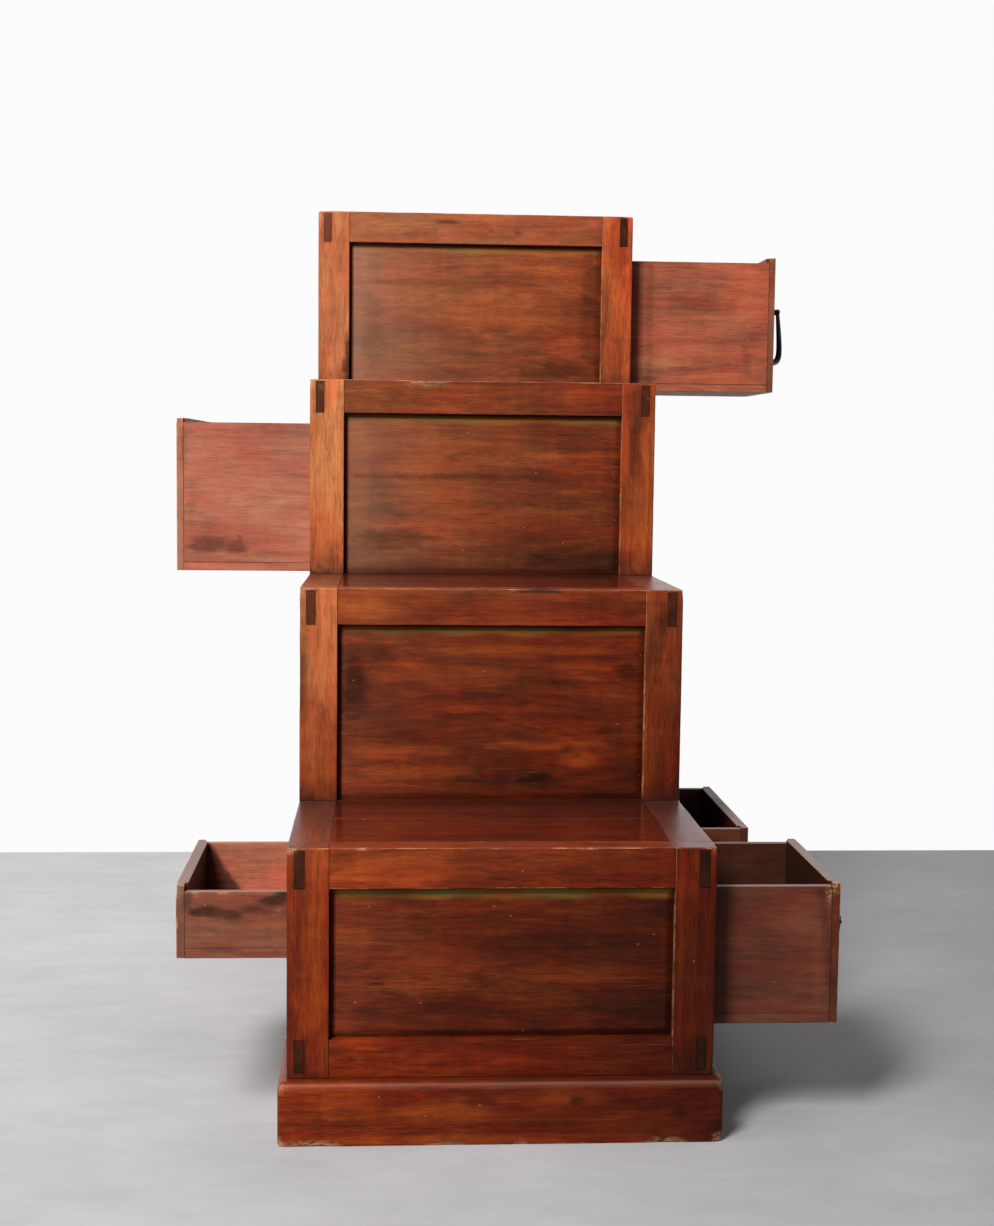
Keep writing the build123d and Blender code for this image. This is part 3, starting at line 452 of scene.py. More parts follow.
def shapeBoard(b):
    # Worn box: a lattice shell with rounded edges, and waves and chips sunk towards its middle, together with
    # the values that its finish needs at each point
    seed = next(boardNumbers)
    low, high = (np.array([b[a][k] for a in "xyz"], float) for k in (0, 1))
    holes = [np.array([sorted(span) for span in hole], float) for hole in b["holes"]]
    rest, quads = latticeBox(b, low, high, holes)
    along = "xyz".index(b["grain"])
    thin = min((a for a in range(3) if a != along), key=lambda a: high[a] - low[a])
    wide = 3 - along - thin
    offset = np.array([seed * 0.731 % 3, seed * 0.377 % 1, seed * 0.113 % 1])
    coord = (rest - low)[:, [along, wide, thin]] * 0.001 + offset
    inwards = np.minimum(rest - low, high - rest)
    own = np.sort(inwards, axis=1)[:, 1]  # distance from the board's own nearest edge
    onEnd = (inwards[:, along] < 0.3) * (0.2 if b["inner"] is not None else 1.0)
    crumbs = layeredNoise(rest, 9.0, seed + 11)
    aged = {
        "place": rest.copy(),
        "edge": np.where(b["rub"] > 0, own / max(b["rub"], 0.01), 50.0),
        "grime": b["grime"] + b["joint"] * np.exp(-own / 0.6) * (0.8 + 0.5 * crumbs),
        "olive": np.zeros(len(rest)),
    }
    if b["panel"] is not None:
        agePanel(b, aged, rest, low, high, seed)
    else:
        ageFaces(b, aged, rest, low, high, seed)
    if b["plinth"]:
        agePlinth(aged, rest, seed)
    if b["stair"]:
        ageStair(b, aged, rest, low, crumbs)
    # The grime value holds dirt together with painted shade in recesses, on treads and on the drawers
    grime, haze = aged["grime"], aged["haze"]
    # Painted shadow: a dark band where the body's side shades a half-open drawer
    if b["band"]:
        grime += b["band"] * np.exp(-np.abs(np.abs(rest[:, 0]) - 231) / 13)
    if b["nook"] is not None:  # painted shadow of the front on the wall's inner side, widest at the bottom
        deep = (high[2] - rest[:, 2]) * 0.62 - np.abs(rest[:, 0] - b["nook"]) + 4 * crumbs
        grime = np.where(rest[:, 1] < low[1] + 0.5, np.maximum(grime, 1.2 * ramp(deep, -7, 3)), grime)
    # Painted shade on the back of a drawer front
    if b["inner"] is not None:
        back = ramp(np.abs(rest[:, 0] - b["inner"][0]), 11, 12.5)
        grime += b["inner"][1] * back
        nearEnd = np.exp(-np.maximum(rest[:, 1] - low[1] - 0.3, 0) / 3)
        haze = haze * (1 - back) * nearEnd
    worn, bare = chipField(rest)
    # Painted highlight: the lit wall of the recess is painted pale and its dirt thinned
    if b["wallRub"]:
        wall, wallLit = recessWallLight(b, rest, low, seed)
        bare = np.where(wall, np.maximum(bare, wallLit), bare)
        grime = np.where(wall, grime * 0.2, grime)
    sink = b["wave"] * (1 + layeredNoise(rest, 60.0, seed + 3)) + worn
    middlewards = np.exp(-(rest - low) / 2.5) - np.exp(-(high - rest) / 2.5)
    place = np.clip(aged["place"] + middlewards * sink[:, None], low, high)
    dark = 1.35 * markField(rest, darkMarks.get(b["marks"], [])) + 0.35 * np.clip(worn, 0, 1.5) * (1 - bare)
    if b["bleed"]:
        dark = np.maximum(dark, tenonRims(b, holes, rest, crumbs))
    dark = np.maximum(dark, b["ink"] * (0.85 + 0.45 * crumbs))
    warm = markField(rest, warmMarks.get(b["marks"], []))
    # Lightness by place: partly the finish's fading, partly painted light at the upper left and painted shade
    # at the lower right
    light, sun = fadeAndFalloff(rest) if b["faded"] else (np.ones(len(rest)), np.zeros(len(rest)))
    sun = sun * b["sun"] if b["faded"] else sun + b["sun"]
    if b["inner"] is not None:
        # The same painted shade also darkens the back's colour
        dark = np.maximum(dark, b["inner"][1] * back)
        light = light * (1 + b["paler"] * nearEnd)
    tone = np.stack([light * b["light"], sun, np.full(len(rest), float(b["dust"]))], axis=1)
    wear = np.stack([np.clip(aged["edge"], 0, 50) * 0.001, onEnd, np.clip(grime, 0, 1)], axis=1)
    mark = np.stack([np.clip(dark, 0, 1), warm, aged["olive"]], axis=1)
    film = np.stack([haze, bare, np.zeros(len(rest))], axis=1)
    return place, quads, coord, tone, wear, mark, film


def piece(node, boards, material, body="carcass", other=None):
    # One mesh for all the boards of a CAD node, with the finish's values at each point
    words = node.split("_")
    name = words[0] + "".join(word.title() for word in words[1:])
    parts = [shapeBoard(b) for b in boards]
    starts = np.cumsum([0] + [len(part[0]) for part in parts[:-1]])
    quads = np.concatenate([part[1] + start for part, start in zip(parts, starts)])
    points, *fields = [np.concatenate([part[k] for part in parts]) for k in (0, 2, 3, 4, 5, 6)]
    mesh = bpy.data.meshes.new(name)
    mesh.vertices.add(len(points))
    mesh.vertices.foreach_set("co", (points * 0.001).astype(np.float32).ravel())
    mesh.loops.add(quads.size)
    mesh.loops.foreach_set("vertex_index", quads.astype(np.int32).ravel())
    mesh.polygons.add(len(quads))
    mesh.polygons.foreach_set("loop_start", np.arange(0, quads.size, 4, dtype=np.int32))
    mesh.polygons.foreach_set("use_smooth", np.ones(len(quads), bool))
    mesh.update(calc_edges=True)
    mesh.set_sharp_from_angle(angle=math.radians(46))
    for key, values in zip(("woodCoord", "tone", "wear", "mark", "film"), fields):
        layer = mesh.attributes.new(key, "FLOAT_VECTOR", "POINT")
        layer.data.foreach_set("vector", values.astype(np.float32).ravel())
    obj = bpy.data.objects.new(name, mesh)
    mesh.materials.append(material)
    if other is not None:
        mesh.materials.append(other)
        index = np.concatenate([np.full(len(part[1]), int(b["second"])) for part, b in zip(parts, boards)])
        mesh.polygons.foreach_set("material_index", index.astype(np.int32))
    scene.collection.objects.link(obj)
    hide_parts(node)
    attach(obj, body)
    return obj


def feed(tree, socket, value):
    # Links a socket, or sets a constant on it
    if isinstance(value, bpy.types.NodeSocket):
        tree.links.new(value, socket)
    else:
        socket.default_value = value


def wire(tree, kind, inputs=None, **settings):
    # A node with its settings and what goes into it
    node = tree.nodes.new(kind)
    for key, value in settings.items():
        setattr(node, key, value)
    for key, value in (inputs or {}).items():
        feed(tree, node.inputs[key], value)
    return node


def calc(tree, operation, a, b=0.0, c=0.0, clamp=False):
    return wire(tree, "ShaderNodeMath", {0: a, 1: b, 2: c}, operation=operation, use_clamp=clamp).outputs[0]


def times(tree, a, b, clamp=False):
    return calc(tree, "MULTIPLY", a, b, clamp=clamp)


def timesPlus(tree, a, b, c, clamp=False):
    # a times b plus c
    return calc(tree, "MULTIPLY_ADD", a, b, c, clamp)


def blendColor(tree, factor, a, b, kind="MIX"):
    inputs = {0: factor, 6: a, 7: b}
    return wire(tree, "ShaderNodeMix", inputs, data_type="RGBA", blend_type=kind).outputs[2]


def spread(tree, value, low, high, toLow=0.0, toHigh=1.0, smooth=True):
    # The range from low to high stretched to another one
    kind = "SMOOTHSTEP" if smooth else "LINEAR"
    inputs = {"Value": value, "From Min": low, "From Max": high, "To Min": toLow, "To Max": toHigh}
    return wire(tree, "ShaderNodeMapRange", inputs, interpolation_type=kind, clamp=True).outputs[0]


def stretched(tree, coord, scale):
    return wire(tree, "ShaderNodeMapping", {"Vector": coord, "Scale": scale}).outputs[0]


def noiseAt(tree, coord, scale, detail=2.0, roughness=0.5, distortion=0.0):
    inputs = {"Vector": coord, "Scale": scale, "Detail": detail, "Roughness": roughness,
              "Distortion": distortion}
    return wire(tree, "ShaderNodeTexNoise", inputs).outputs[0]


def grainNoise(tree, coord, scale, *settings):
    # Noise stretched along the grain, by its cells per metre along, across and through the board
    return noiseAt(tree, stretched(tree, coord, scale), 1.0, *settings)


def axesOf(tree, vector):
    return wire(tree, "ShaderNodeSeparateXYZ", {"Vector": vector}).outputs


def attribute(tree, name):
    return wire(tree, "ShaderNodeAttribute", attribute_name=name).outputs["Vector"]


def gray(tree, value):
    return wire(tree, "ShaderNodeCombineXYZ", {0: value, 1: value, 2: value}).outputs[0]


def openGroup(name, inputs, outputs):
    # An empty node group with its named sockets
    tree = bpy.data.node_groups.new(name, "ShaderNodeTree")
    for label, kind, value in inputs:
        socket = tree.interface.new_socket(label, in_out="INPUT", socket_type="NodeSocket" + kind)
        if value is not None:
            socket.default_value = value
    for label, kind in outputs:
        tree.interface.new_socket(label, in_out="OUTPUT", socket_type="NodeSocket" + kind)
    return tree, wire(tree, "NodeGroupInput").outputs, wire(tree, "NodeGroupOutput").inputs


def useGroup(tree, group, inputs):
    return wire(tree, "ShaderNodeGroup", inputs, node_tree=group).outputs


def makeGrainGroup():
    # Grain of a board as noises stretched along it: long soft streaks, finer streaks, fibres, clouds and
    # pores; growth lines are the fraction of the distance from a pith beside the board over the line spacing
    tree, given, out = openGroup(
        "woodGrain", [("Coord", "Vector", None), ("Line Spacing", "Float", 0.006)],
        [(key, "Float") for key in ("Figure", "Line", "Fibre", "Pore", "Stroke", "Blotch", "Hue", "Crumb")])
    coord = given["Coord"]
    streak = grainNoise(tree, coord, (6.0, 36.0, 36.0), 6.0, 0.68, 0.7)
    fine = grainNoise(tree, coord, (26.0, 190.0, 190.0), 5.0, 0.7, 0.4)
    fibre = grainNoise(tree, coord, (32.0, 900.0, 900.0), 3.0, 0.6)
    cloud = grainNoise(tree, coord, (4.0, 11.0, 11.0), 3.0, 0.5)
    ripple = grainNoise(tree, coord, (70.0, 12.0, 12.0), 1.0, 0.5)
    figure = times(tree, streak, 0.36)
    for value, weight in ((fine, 0.22), (fibre, 0.12), (cloud, 0.24), (ripple, 0.06)):
        figure = timesPlus(tree, value, weight, figure)
    bend = grainNoise(tree, coord, (2.2, 9.0, 9.0), 3.0, 0.5)
    axes = axesOf(tree, coord)
    across = calc(tree, "MODULO", timesPlus(tree, bend, 0.02, axes[1]), 0.41)
    across = calc(tree, "SUBTRACT", across, 0.17)
    depth = calc(tree, "ADD", calc(tree, "MODULO", axes[2], 0.29), 0.03)
    ring = calc(tree, "SQRT", timesPlus(tree, across, across, times(tree, depth, depth)))
    lines = timesPlus(tree, bend, 3.0, calc(tree, "DIVIDE", ring, given["Line Spacing"]))
    wave = calc(tree, "FRACT", lines)
    dash = grainNoise(tree, coord, (75.0, 1500.0, 1500.0), 1.0, 0.4)
    crack = grainNoise(tree, coord, (24.0, 430.0, 430.0), 2.0, 0.5, 0.3)
    torn = grainNoise(tree, coord, (13.0, 62.0, 62.0), 7.0, 0.74, 0.9)
    softStrokes = times(tree, spread(tree, torn, 0.58, 0.66), 0.55)
    values = {
        "Figure": figure,
        "Fibre": fibre,
        "Line": calc(tree, "POWER", wave, 2.6),
        "Pore": spread(tree, dash, 0.60, 0.72),
        "Stroke": calc(tree, "MAXIMUM", spread(tree, crack, 0.64, 0.70), softStrokes),
        "Blotch": grainNoise(tree, coord, (15.0, 42.0, 42.0), 4.0, 0.65, 0.3),
        "Hue": grainNoise(tree, coord, (8.0, 24.0, 24.0), 3.0, 0.55, 0.5),
        "Crumb": grainNoise(tree, coord, (140.0, 260.0, 260.0), 3.0, 0.6),
    }
    for key, value in values.items():
        tree.links.new(value, out[key])
    return tree


# Linear colours of the wood's pores and of what has happened to the finish; the tints are factors
agedColors = {
    "pore": (0.02, 0.006, 0.003, 1),
    "redTint": (1.05, 0.84, 0.80, 1),
    "oliveTint": (0.96, 1.12, 1.06, 1),
    "orange": (0.36, 0.075, 0.011, 1),
    # The haze colour also paints the highlight on the plinth's top arris
    "haze": (0.36, 0.21, 0.135, 1),
    # olive and oliveBrown are also paler than the panel, painted light under the rails
    "olive": (0.20, 0.135, 0.030, 1),
    "oliveBrown": (0.34, 0.13, 0.022, 1),
    "endGrain": (0.040, 0.016, 0.010, 1),
    # The bare colour also paints the highlight on the lit wall of the recess
    "bare": (0.40, 0.21, 0.10, 1),
    "soakedTint": (0.16, 0.22, 0.24, 1),
    "soaked": (0.022, 0.010, 0.005, 1),
    # The dirt colour also serves for painted shade
    "dirt": (0.016, 0.007, 0.005, 1),
    "dust": (0.20, 0.16, 0.145, 1),
    "speck": (0.48, 0.27, 0.15, 1),
}


def makeColorGroup():
    # Colour of the finish: dark, middle and pale by the figure, blotches towards dark, tinted red or olive by
    # the hue noise, pores and growth lines darkened
    tree, given, out = openGroup(
        "woodColor",
        [*((key, "Color", None) for key in ("Dark", "Middle", "Pale")),
         *((key, "Float", 0.0) for key in ("Figure", "Line", "Pore", "Stroke", "Blotch", "Hue")),
         ("Line Amount", "Float", 0.1), ("Pore Amount", "Float", 0.4), ("Blotch Amount", "Float", 0.4)],
        [("Color", "Color")])
    figure = timesPlus(tree, given["Line"], times(tree, given["Line Amount"], -0.5), given["Figure"])
    low = spread(tree, figure, 0.38, 0.49, smooth=False)
    high = spread(tree, figure, 0.49, 0.62, smooth=False)
    color = blendColor(tree, high, blendColor(tree, low, given["Dark"], given["Middle"]), given["Pale"])
    hue = spread(tree, given["Hue"], 0.38, 0.62, smooth=False)
    tint = blendColor(tree, hue, agedColors["redTint"], agedColors["oliveTint"])
    color = blendColor(tree, 1.0, color, tint, "MULTIPLY")
    blotch = times(tree, spread(tree, given["Blotch"], 0.52, 0.70), given["Blotch Amount"])
    color = blendColor(tree, blotch, color, given["Dark"])
    color = blendColor(tree, times(tree, given["Pore"], given["Pore Amount"]), color, agedColors["pore"])
    color = blendColor(tree, times(tree, given["Stroke"], given["Pore Amount"]), color, given["Dark"])
    tree.links.new(color, out["Color"])
    return tree


def makeWearGroup():
    # Rubbed edges, settled dirt with painted shade, stains, specks and scratches: each a smooth step of its
    # value plus a noise
    tree, given, out = openGroup(
        "wearAndDirt",
        [("Coord", "Vector", None), ("Edge", "Float", 0.05), ("Grime", "Float", 0.0), ("Stain", "Float", 0.0),
         ("Crumb", "Float", 0.5), ("Rub Width", "Float", 0.0022), ("Rub Amount", "Float", 0.6)],
        [(key, "Float") for key in ("Rub", "Dirt", "Stained", "Speck", "Scratch")])
    coord = given["Coord"]
    patches = grainNoise(tree, coord, (22.0, 60.0, 60.0), 4.0, 0.65)
    shore = times(tree, given["Rub Width"], spread(tree, patches, 0.36, 0.70, 0.0, 1.6, False))
    fromShore = calc(tree, "DIVIDE", given["Edge"], calc(tree, "ADD", shore, 0.0001))
    rub = spread(tree, fromShore, 0.45, 1.0, 1.0, 0.0)
    tree.links.new(times(tree, rub, given["Rub Amount"]), out["Rub"])
    dirt = times(tree, given["Grime"], spread(tree, patches, 0.25, 0.7, 0.6, 1.1, False), True)
    tree.links.new(dirt, out["Dirt"])
    ragged = timesPlus(tree, calc(tree, "SUBTRACT", given["Crumb"], 0.5), 0.4, given["Stain"])
    tree.links.new(spread(tree, ragged, 0.10, 1.05, smooth=False), out["Stained"])
    large = wire(tree, "ShaderNodeTexVoronoi", {"Vector": coord, "Scale": 26.0}, feature="F1").outputs
    rare = wire(tree, "ShaderNodeSeparateColor", {"Color": large["Color"]}).outputs[0]
    close = spread(tree, large["Distance"], 0.016, 0.030, 1.0, 0.0)
    inputs = {"Vector": stretched(tree, coord, (0.6, 1.0, 1.0)), "Scale": 95.0}
    small = wire(tree, "ShaderNodeTexVoronoi", inputs, feature="F1").outputs
    often = wire(tree, "ShaderNodeSeparateColor", {"Color": small["Color"]}).outputs[1]
    fleck = times(tree, spread(tree, small["Distance"], 0.05, 0.11, 0.55, 0.0), spread(tree, often, 0.86, 0.90))
    speck = calc(tree, "MAXIMUM", fleck, times(tree, close, spread(tree, rare, 0.90, 0.92)))
    tree.links.new(speck, out["Speck"])
    lines = grainNoise(tree, coord, (20.0, 900.0, 900.0), 0.0, 0.3)
    few = grainNoise(tree, coord, (11.0, 70.0, 70.0), 2.0, 0.5)
    scratch = times(tree, spread(tree, lines, 0.70, 0.76), spread(tree, few, 0.56, 0.70))
    tree.links.new(scratch, out["Scratch"])
    return tree


grainGroup = makeGrainGroup()
colorGroup = makeColorGroup()
wearGroup = makeWearGroup()

# How each kind of wood looks: linear colours of the fresh and of the bleached finish, dark, middle and pale,
# and how strong each effect is
woodLooks = {
    "carcassWood": {
        "colors": ((0.038, 0.0050, 0.0016), (0.135, 0.0132, 0.0022), (0.27, 0.040, 0.0050)),
        "bleached": ((0.20, 0.055, 0.020), (0.38, 0.108, 0.036), (0.53, 0.186, 0.072)),
        "rubbed": (0.50, 0.20, 0.085, 1), "rub": 0.75, "rubWidth": 0.0016, "roughness": 0.40,
        "specular": 0.10, "pores": 0.50, "lines": 0.05, "spacing": 0.0058, "blotch": 0.40, "bump": 0.35,
    },
    "panelWood": {
        "colors": ((0.036, 0.0055, 0.0020), (0.112, 0.0140, 0.0026), (0.25, 0.040, 0.0060)),
        "bleached": ((0.16, 0.048, 0.020), (0.33, 0.095, 0.034), (0.50, 0.165, 0.060)),
        "rubbed": (0.40, 0.17, 0.07, 1), "rub": 0.10, "rubWidth": 0.0010, "roughness": 0.38,
        "specular": 0.10, "pores": 0.60, "lines": 0.06, "spacing": 0.0070, "blotch": 0.55, "bump": 0.4,
    },
    "treadWood": {
        "colors": ((0.038, 0.0052, 0.0022), (0.104, 0.0116, 0.0038), (0.18, 0.024, 0.0065)),
        "bleached": ((0.07, 0.015, 0.009), (0.14, 0.028, 0.015), (0.22, 0.054, 0.028)),
        "rubbed": (0.46, 0.20, 0.09, 1), "rub": 0.55, "rubWidth": 0.0014, "roughness": 0.24,
        "specular": 0.36, "pores": 0.45, "lines": 0.05, "spacing": 0.0062, "blotch": 0.65, "bump": 0.3,
    },
    "drawerWood": {
        "colors": ((0.125, 0.035, 0.020), (0.28, 0.068, 0.034), (0.40, 0.122, 0.062)),
        "bleached": ((0.25, 0.086, 0.056), (0.38, 0.128, 0.078), (0.49, 0.190, 0.120)),
        "rubbed": (0.46, 0.27, 0.18, 1), "rub": 0.6, "rubWidth": 0.0014, "roughness": 0.55,
        "specular": 0.14, "pores": 0.28, "lines": 0.06, "spacing": 0.0085, "blotch": 0.35, "bump": 0.45,
    },
    "innerWood": {
        "colors": ((0.11, 0.045, 0.020), (0.27, 0.105, 0.050), (0.42, 0.200, 0.100)),
        "bleached": ((0.11, 0.045, 0.020), (0.27, 0.105, 0.050), (0.42, 0.200, 0.100)),
        "rubbed": (0.45, 0.28, 0.17, 1), "rub": 0.3, "rubWidth": 0.0012, "roughness": 0.7,
        "specular": 0.20, "pores": 0.4, "lines": 0.25, "spacing": 0.0080, "blotch": 0.5, "bump": 0.5,
    },
}


def grainColor(tree, grain, figure, colors, look):
    # The finish's colour from one set of dark, middle and pale
    inputs = {key: (*value, 1) for key, value in zip(("Dark", "Middle", "Pale"), colors)}
    inputs |= {key: grain[key] for key in ("Line", "Pore", "Stroke", "Blotch", "Hue")} | {"Figure": figure}
    inputs |= {"Line Amount": look["lines"], "Pore Amount": look["pores"], "Blotch Amount": look["blotch"]}
    return useGroup(tree, colorGroup, inputs)["Color"]


def grainBump(tree, grain, amount):
    # Relief: 0.8 of the figure plus 0.6 of the fibre, less 0.8 of the pores
    height = timesPlus(tree, grain["Pore"], -0.8, times(tree, grain["Fibre"], 0.6))
    height = timesPlus(tree, grain["Figure"], 0.8, height)
    return wire(tree, "ShaderNodeBump", {"Strength": amount, "Distance": 0.0004, "Height": height}).outputs[0]


def emptyMaterial(name):
    material = bpy.data.materials.new(name)
    material.use_nodes = True
    material.node_tree.nodes.clear()
    return material, material.node_tree


def finishMaterial(tree, inputs):
    shader = wire(tree, "ShaderNodeBsdfPrincipled", inputs)
    tree.links.new(shader.outputs[0], wire(tree, "ShaderNodeOutputMaterial").inputs["Surface"])


def makeWood(name):
    # Finish of the boards: grain, then bleaching, haze, wear, stains, dirt with painted shade and dust laid
    # over each other
    look = woodLooks[name]
    material, tree = emptyMaterial(name)
    coord = attribute(tree, "woodCoord")
    light, sun, dust = axesOf(tree, attribute(tree, "tone"))
    edge, onEnd, grime = axesOf(tree, attribute(tree, "wear"))
    stain, warmth, oliveAmount = axesOf(tree, attribute(tree, "mark"))
    haze, bare = axesOf(tree, attribute(tree, "film"))[:2]
    grain = useGroup(tree, grainGroup, {"Coord": coord, "Line Spacing": look["spacing"]})
    aged = useGroup(tree, wearGroup, {
        "Coord": coord, "Edge": edge, "Grime": grime, "Stain": stain, "Crumb": grain["Crumb"],
        "Rub Width": look["rubWidth"], "Rub Amount": look["rub"]})
    figure = timesPlus(tree, warmth, 0.11, grain["Figure"])
    fresh = grainColor(tree, grain, figure, look["colors"], look)
    color = blendColor(tree, sun, fresh, grainColor(tree, grain, figure, look["bleached"], look))
    color = blendColor(tree, times(tree, warmth, 0.30), color, agedColors["orange"])
    color = blendColor(tree, 1.0, color, gray(tree, light), "MULTIPLY")
    color = blendColor(tree, haze, color, agedColors["haze"])
    oliveHere = times(tree, oliveAmount, spread(tree, grain["Hue"], 0.3, 0.6, 0.75, 1.0, False))
    blotched = spread(tree, grain["Blotch"], 0.42, 0.58)
    olive = blendColor(tree, blotched, agedColors["olive"], agedColors["oliveBrown"])
    color = blendColor(tree, oliveHere, color, olive)
    color = blendColor(tree, times(tree, onEnd, 0.5), color, agedColors["endGrain"])
    color = blendColor(tree, aged["Rub"], color, look["rubbed"])
    color = blendColor(tree, times(tree, aged["Scratch"], 0.15), color, look["rubbed"])
    # Pale where the wood is bare, and where the recess wall has its painted highlight
    bareHere = times(tree, bare, spread(tree, grain["Crumb"], 0.36, 0.56))
    color = blendColor(tree, bareHere, color, agedColors["bare"])
    tinted = blendColor(tree, 1.0, color, agedColors["soakedTint"], "MULTIPLY")
    soaked = blendColor(tree, 0.5, tinted, agedColors["soaked"])
    color = blendColor(tree, times(tree, aged["Stained"], 0.96), color, soaked)
    # Dirt and painted shade, both darkened to the same colour
    color = blendColor(tree, times(tree, aged["Dirt"], 0.88), color, agedColors["dirt"])
    up = axesOf(tree, wire(tree, "ShaderNodeNewGeometry").outputs["True Normal"])[2]
    flat = spread(tree, up, 0.75, 0.95)
    dusty = times(tree, times(tree, flat, dust), spread(tree, grain["Blotch"], 0.3, 0.7, 0.6, 1.0))
    color = blendColor(tree, dusty, color, agedColors["dust"])
    color = blendColor(tree, times(tree, aged["Speck"], 0.5), color, agedColors["speck"])
    rough = timesPlus(tree, grain["Blotch"], 0.16, look["roughness"] - 0.08)
    rough = timesPlus(tree, flat, -0.12, rough)
    rough = timesPlus(tree, aged["Rub"], 0.22, rough)
    rough = timesPlus(tree, dusty, 0.45, rough, True)
    shine = timesPlus(tree, flat, 0.13, timesPlus(tree, aged["Stained"], -0.07, look["specular"]))
    finishMaterial(tree, {"Base Color": color, "Roughness": rough, "Specular IOR Level": shine,
                          "Normal": grainBump(tree, grain, look["bump"])})
    return material


ironLook = {"black": (0.012, 0.012, 0.013, 1), "rust": (0.055, 0.026, 0.014, 1), "metallic": 0.75}


def makeIron():
    # Blackened forged iron: dull black with hammered hollows and a little brown rust
    material, tree = emptyMaterial("blackIron")
    coord = wire(tree, "ShaderNodeTexCoord").outputs["Object"]
    hollows = noiseAt(tree, coord, 260.0, 2.0, 0.5)
    rust = spread(tree, noiseAt(tree, coord, 90.0, 5.0, 0.7), 0.52, 0.72)
    grit = noiseAt(tree, coord, 1800.0, 2.0, 0.6)
    color = blendColor(tree, times(tree, rust, 0.55), ironLook["black"], ironLook["rust"])
    rough = spread(tree, timesPlus(tree, rust, 0.4, grit), 0.2, 1.2, 0.36, 0.72, False)
    height = timesPlus(tree, grit, 0.12, hollows)
    normal = wire(tree, "ShaderNodeBump", {"Strength": 0.6, "Distance": 0.0008, "Height": height}).outputs[0]
    finishMaterial(tree, {"Base Color": color, "Roughness": rough, "Metallic": ironLook["metallic"],
                          "Normal": normal})
    return material


def makeDoorWood():
    # Wood for the CAD model's own boards, which have no values per point: the grain runs up the z axis
    look = woodLooks["carcassWood"]
    material, tree = emptyMaterial("doorWood")
    place = axesOf(tree, wire(tree, "ShaderNodeTexCoord").outputs["Object"])
    coord = wire(tree, "ShaderNodeCombineXYZ", {0: place[2], 1: place[1], 2: place[0]}).outputs[0]
    grain = useGroup(tree, grainGroup, {"Coord": coord, "Line Spacing": 0.0075})
    finishMaterial(tree, {"Base Color": grainColor(tree, grain, grain["Figure"], look["colors"], look),
                          "Roughness": timesPlus(tree, grain["Blotch"], 0.16, 0.30),
                          "Normal": grainBump(tree, grain, 0.35), "Specular IOR Level": 0.25})
    return material


woods = {name: makeWood(name) for name in woodLooks}
iron = makeIron()
doorWood = makeDoorWood()
carcassWood, panelWood, innerWood = woods["carcassWood"], woods["panelWood"], woods["innerWood"]
print("materials made")


def sideSpan(side, inner, outer):
    return (side * inner, side * outer)


def tenonHole(side, y, level):
    # Mortise through a post, a little wider than its tenon
    low, high = chest["tenons"][level]
    inner, outer = chest["tenonX"]
    return (sideSpan(side, inner - 0.2, outer + 0.2), (y - 1, y + post + 1), (low - 0.2, high + 0.2))


def rowSpan(row):
    # Bottom and top of an opening, counted from the floor up
    return (floors[row - 1] + gap, ceilings[row - 1] - gap)


plinthLooks = {"plinth": True, "light": 1.15, "sun": 0.0, "radius": 0.9, "wave": 0.2, "joint": 0.3}
plinthInner = (plinth["front"] + plinth["board"], plinth["back"] - plinth["board"])
boards = [board((-plinth["half"], plinth["half"]), y, (0, levels[0]), "x", step=5, marks=marks, **plinthLooks)
          for y, marks in (((plinth["front"], plinthInner[0]), 0), ((plinthInner[1], plinth["back"]), None))]
piece("plinth_ends", boards, carcassWood)
boards = [board(sideSpan(s, plinth["half"] - plinth["board"], plinth["half"]), plinthInner, (0, levels[0]), "y",
                step=10, **plinthLooks) for s in (-1, 1)]
piece("plinth_sides", boards, carcassWood)

# The posts beside each riser, left and right
postLooks = {
    # The right posts paint a highlight on the lit wall of the recess
    1: ({"light": 1.05, "foot": 0.5}, {"light": 1.18, "foot": 0.5, "wallRub": 0.5}),
    2: ({"light": 1.05, "foot": 0.95}, {"light": 1.18, "foot": 0.95, "wallRub": 1.0}),
    3: ({"light": 1.05, "foot": 0.95}, {"light": 1.05, "foot": 0.95, "wallRub": 1.0}),
    4: ({"light": 1.05, "foot": 0.95, "haze": 0.09}, {"light": 1.05, "foot": 0.95, "wallRub": 1.0}),
}
for k, sides in postLooks.items():
    y = risers[k - 1]
    boards = []
    for s, looks in zip((-1, 1), sides):
        holes = [tenonHole(s, y, k)] + ([tenonHole(s, y, 0)] if k == 1 else [])
        boards.append(board(sideSpan(s, bay, half), (y, y + post), (levels[k - 1], levels[k]), "z", stair=True,
                            holes=holes, marks=k, step=5, bleed=0.5, **looks))
    piece(f"step_{k}_posts", boards, carcassWood)
boards = [board(sideSpan(s, bay, half), (backPost, chest["back"]), (levels[0], levels[4]), "z", stair=True,
                light=0.8, sun=0.45, step=10, holes=[tenonHole(s, backPost, level) for level in range(5)])
          for s in (-1, 1)]
piece("back_posts", boards, carcassWood)

# Posts between the compartments: side, row from the floor up, and front face
midPlaces = [(-1, 1, risers[1]), (-1, 1, risers[2]), (-1, 1, risers[3]), (-1, 2, risers[2]),
             (-1, 2, risers[3]), (1, 1, risers[1]), (1, 1, chest["split"]), (1, 3, risers[3])]
boards = [board(sideSpan(s, bay, half), (y, y + post), rowSpan(row), "z", step=10) for s, row, y in midPlaces]
piece("mid_posts", boards, carcassWood)

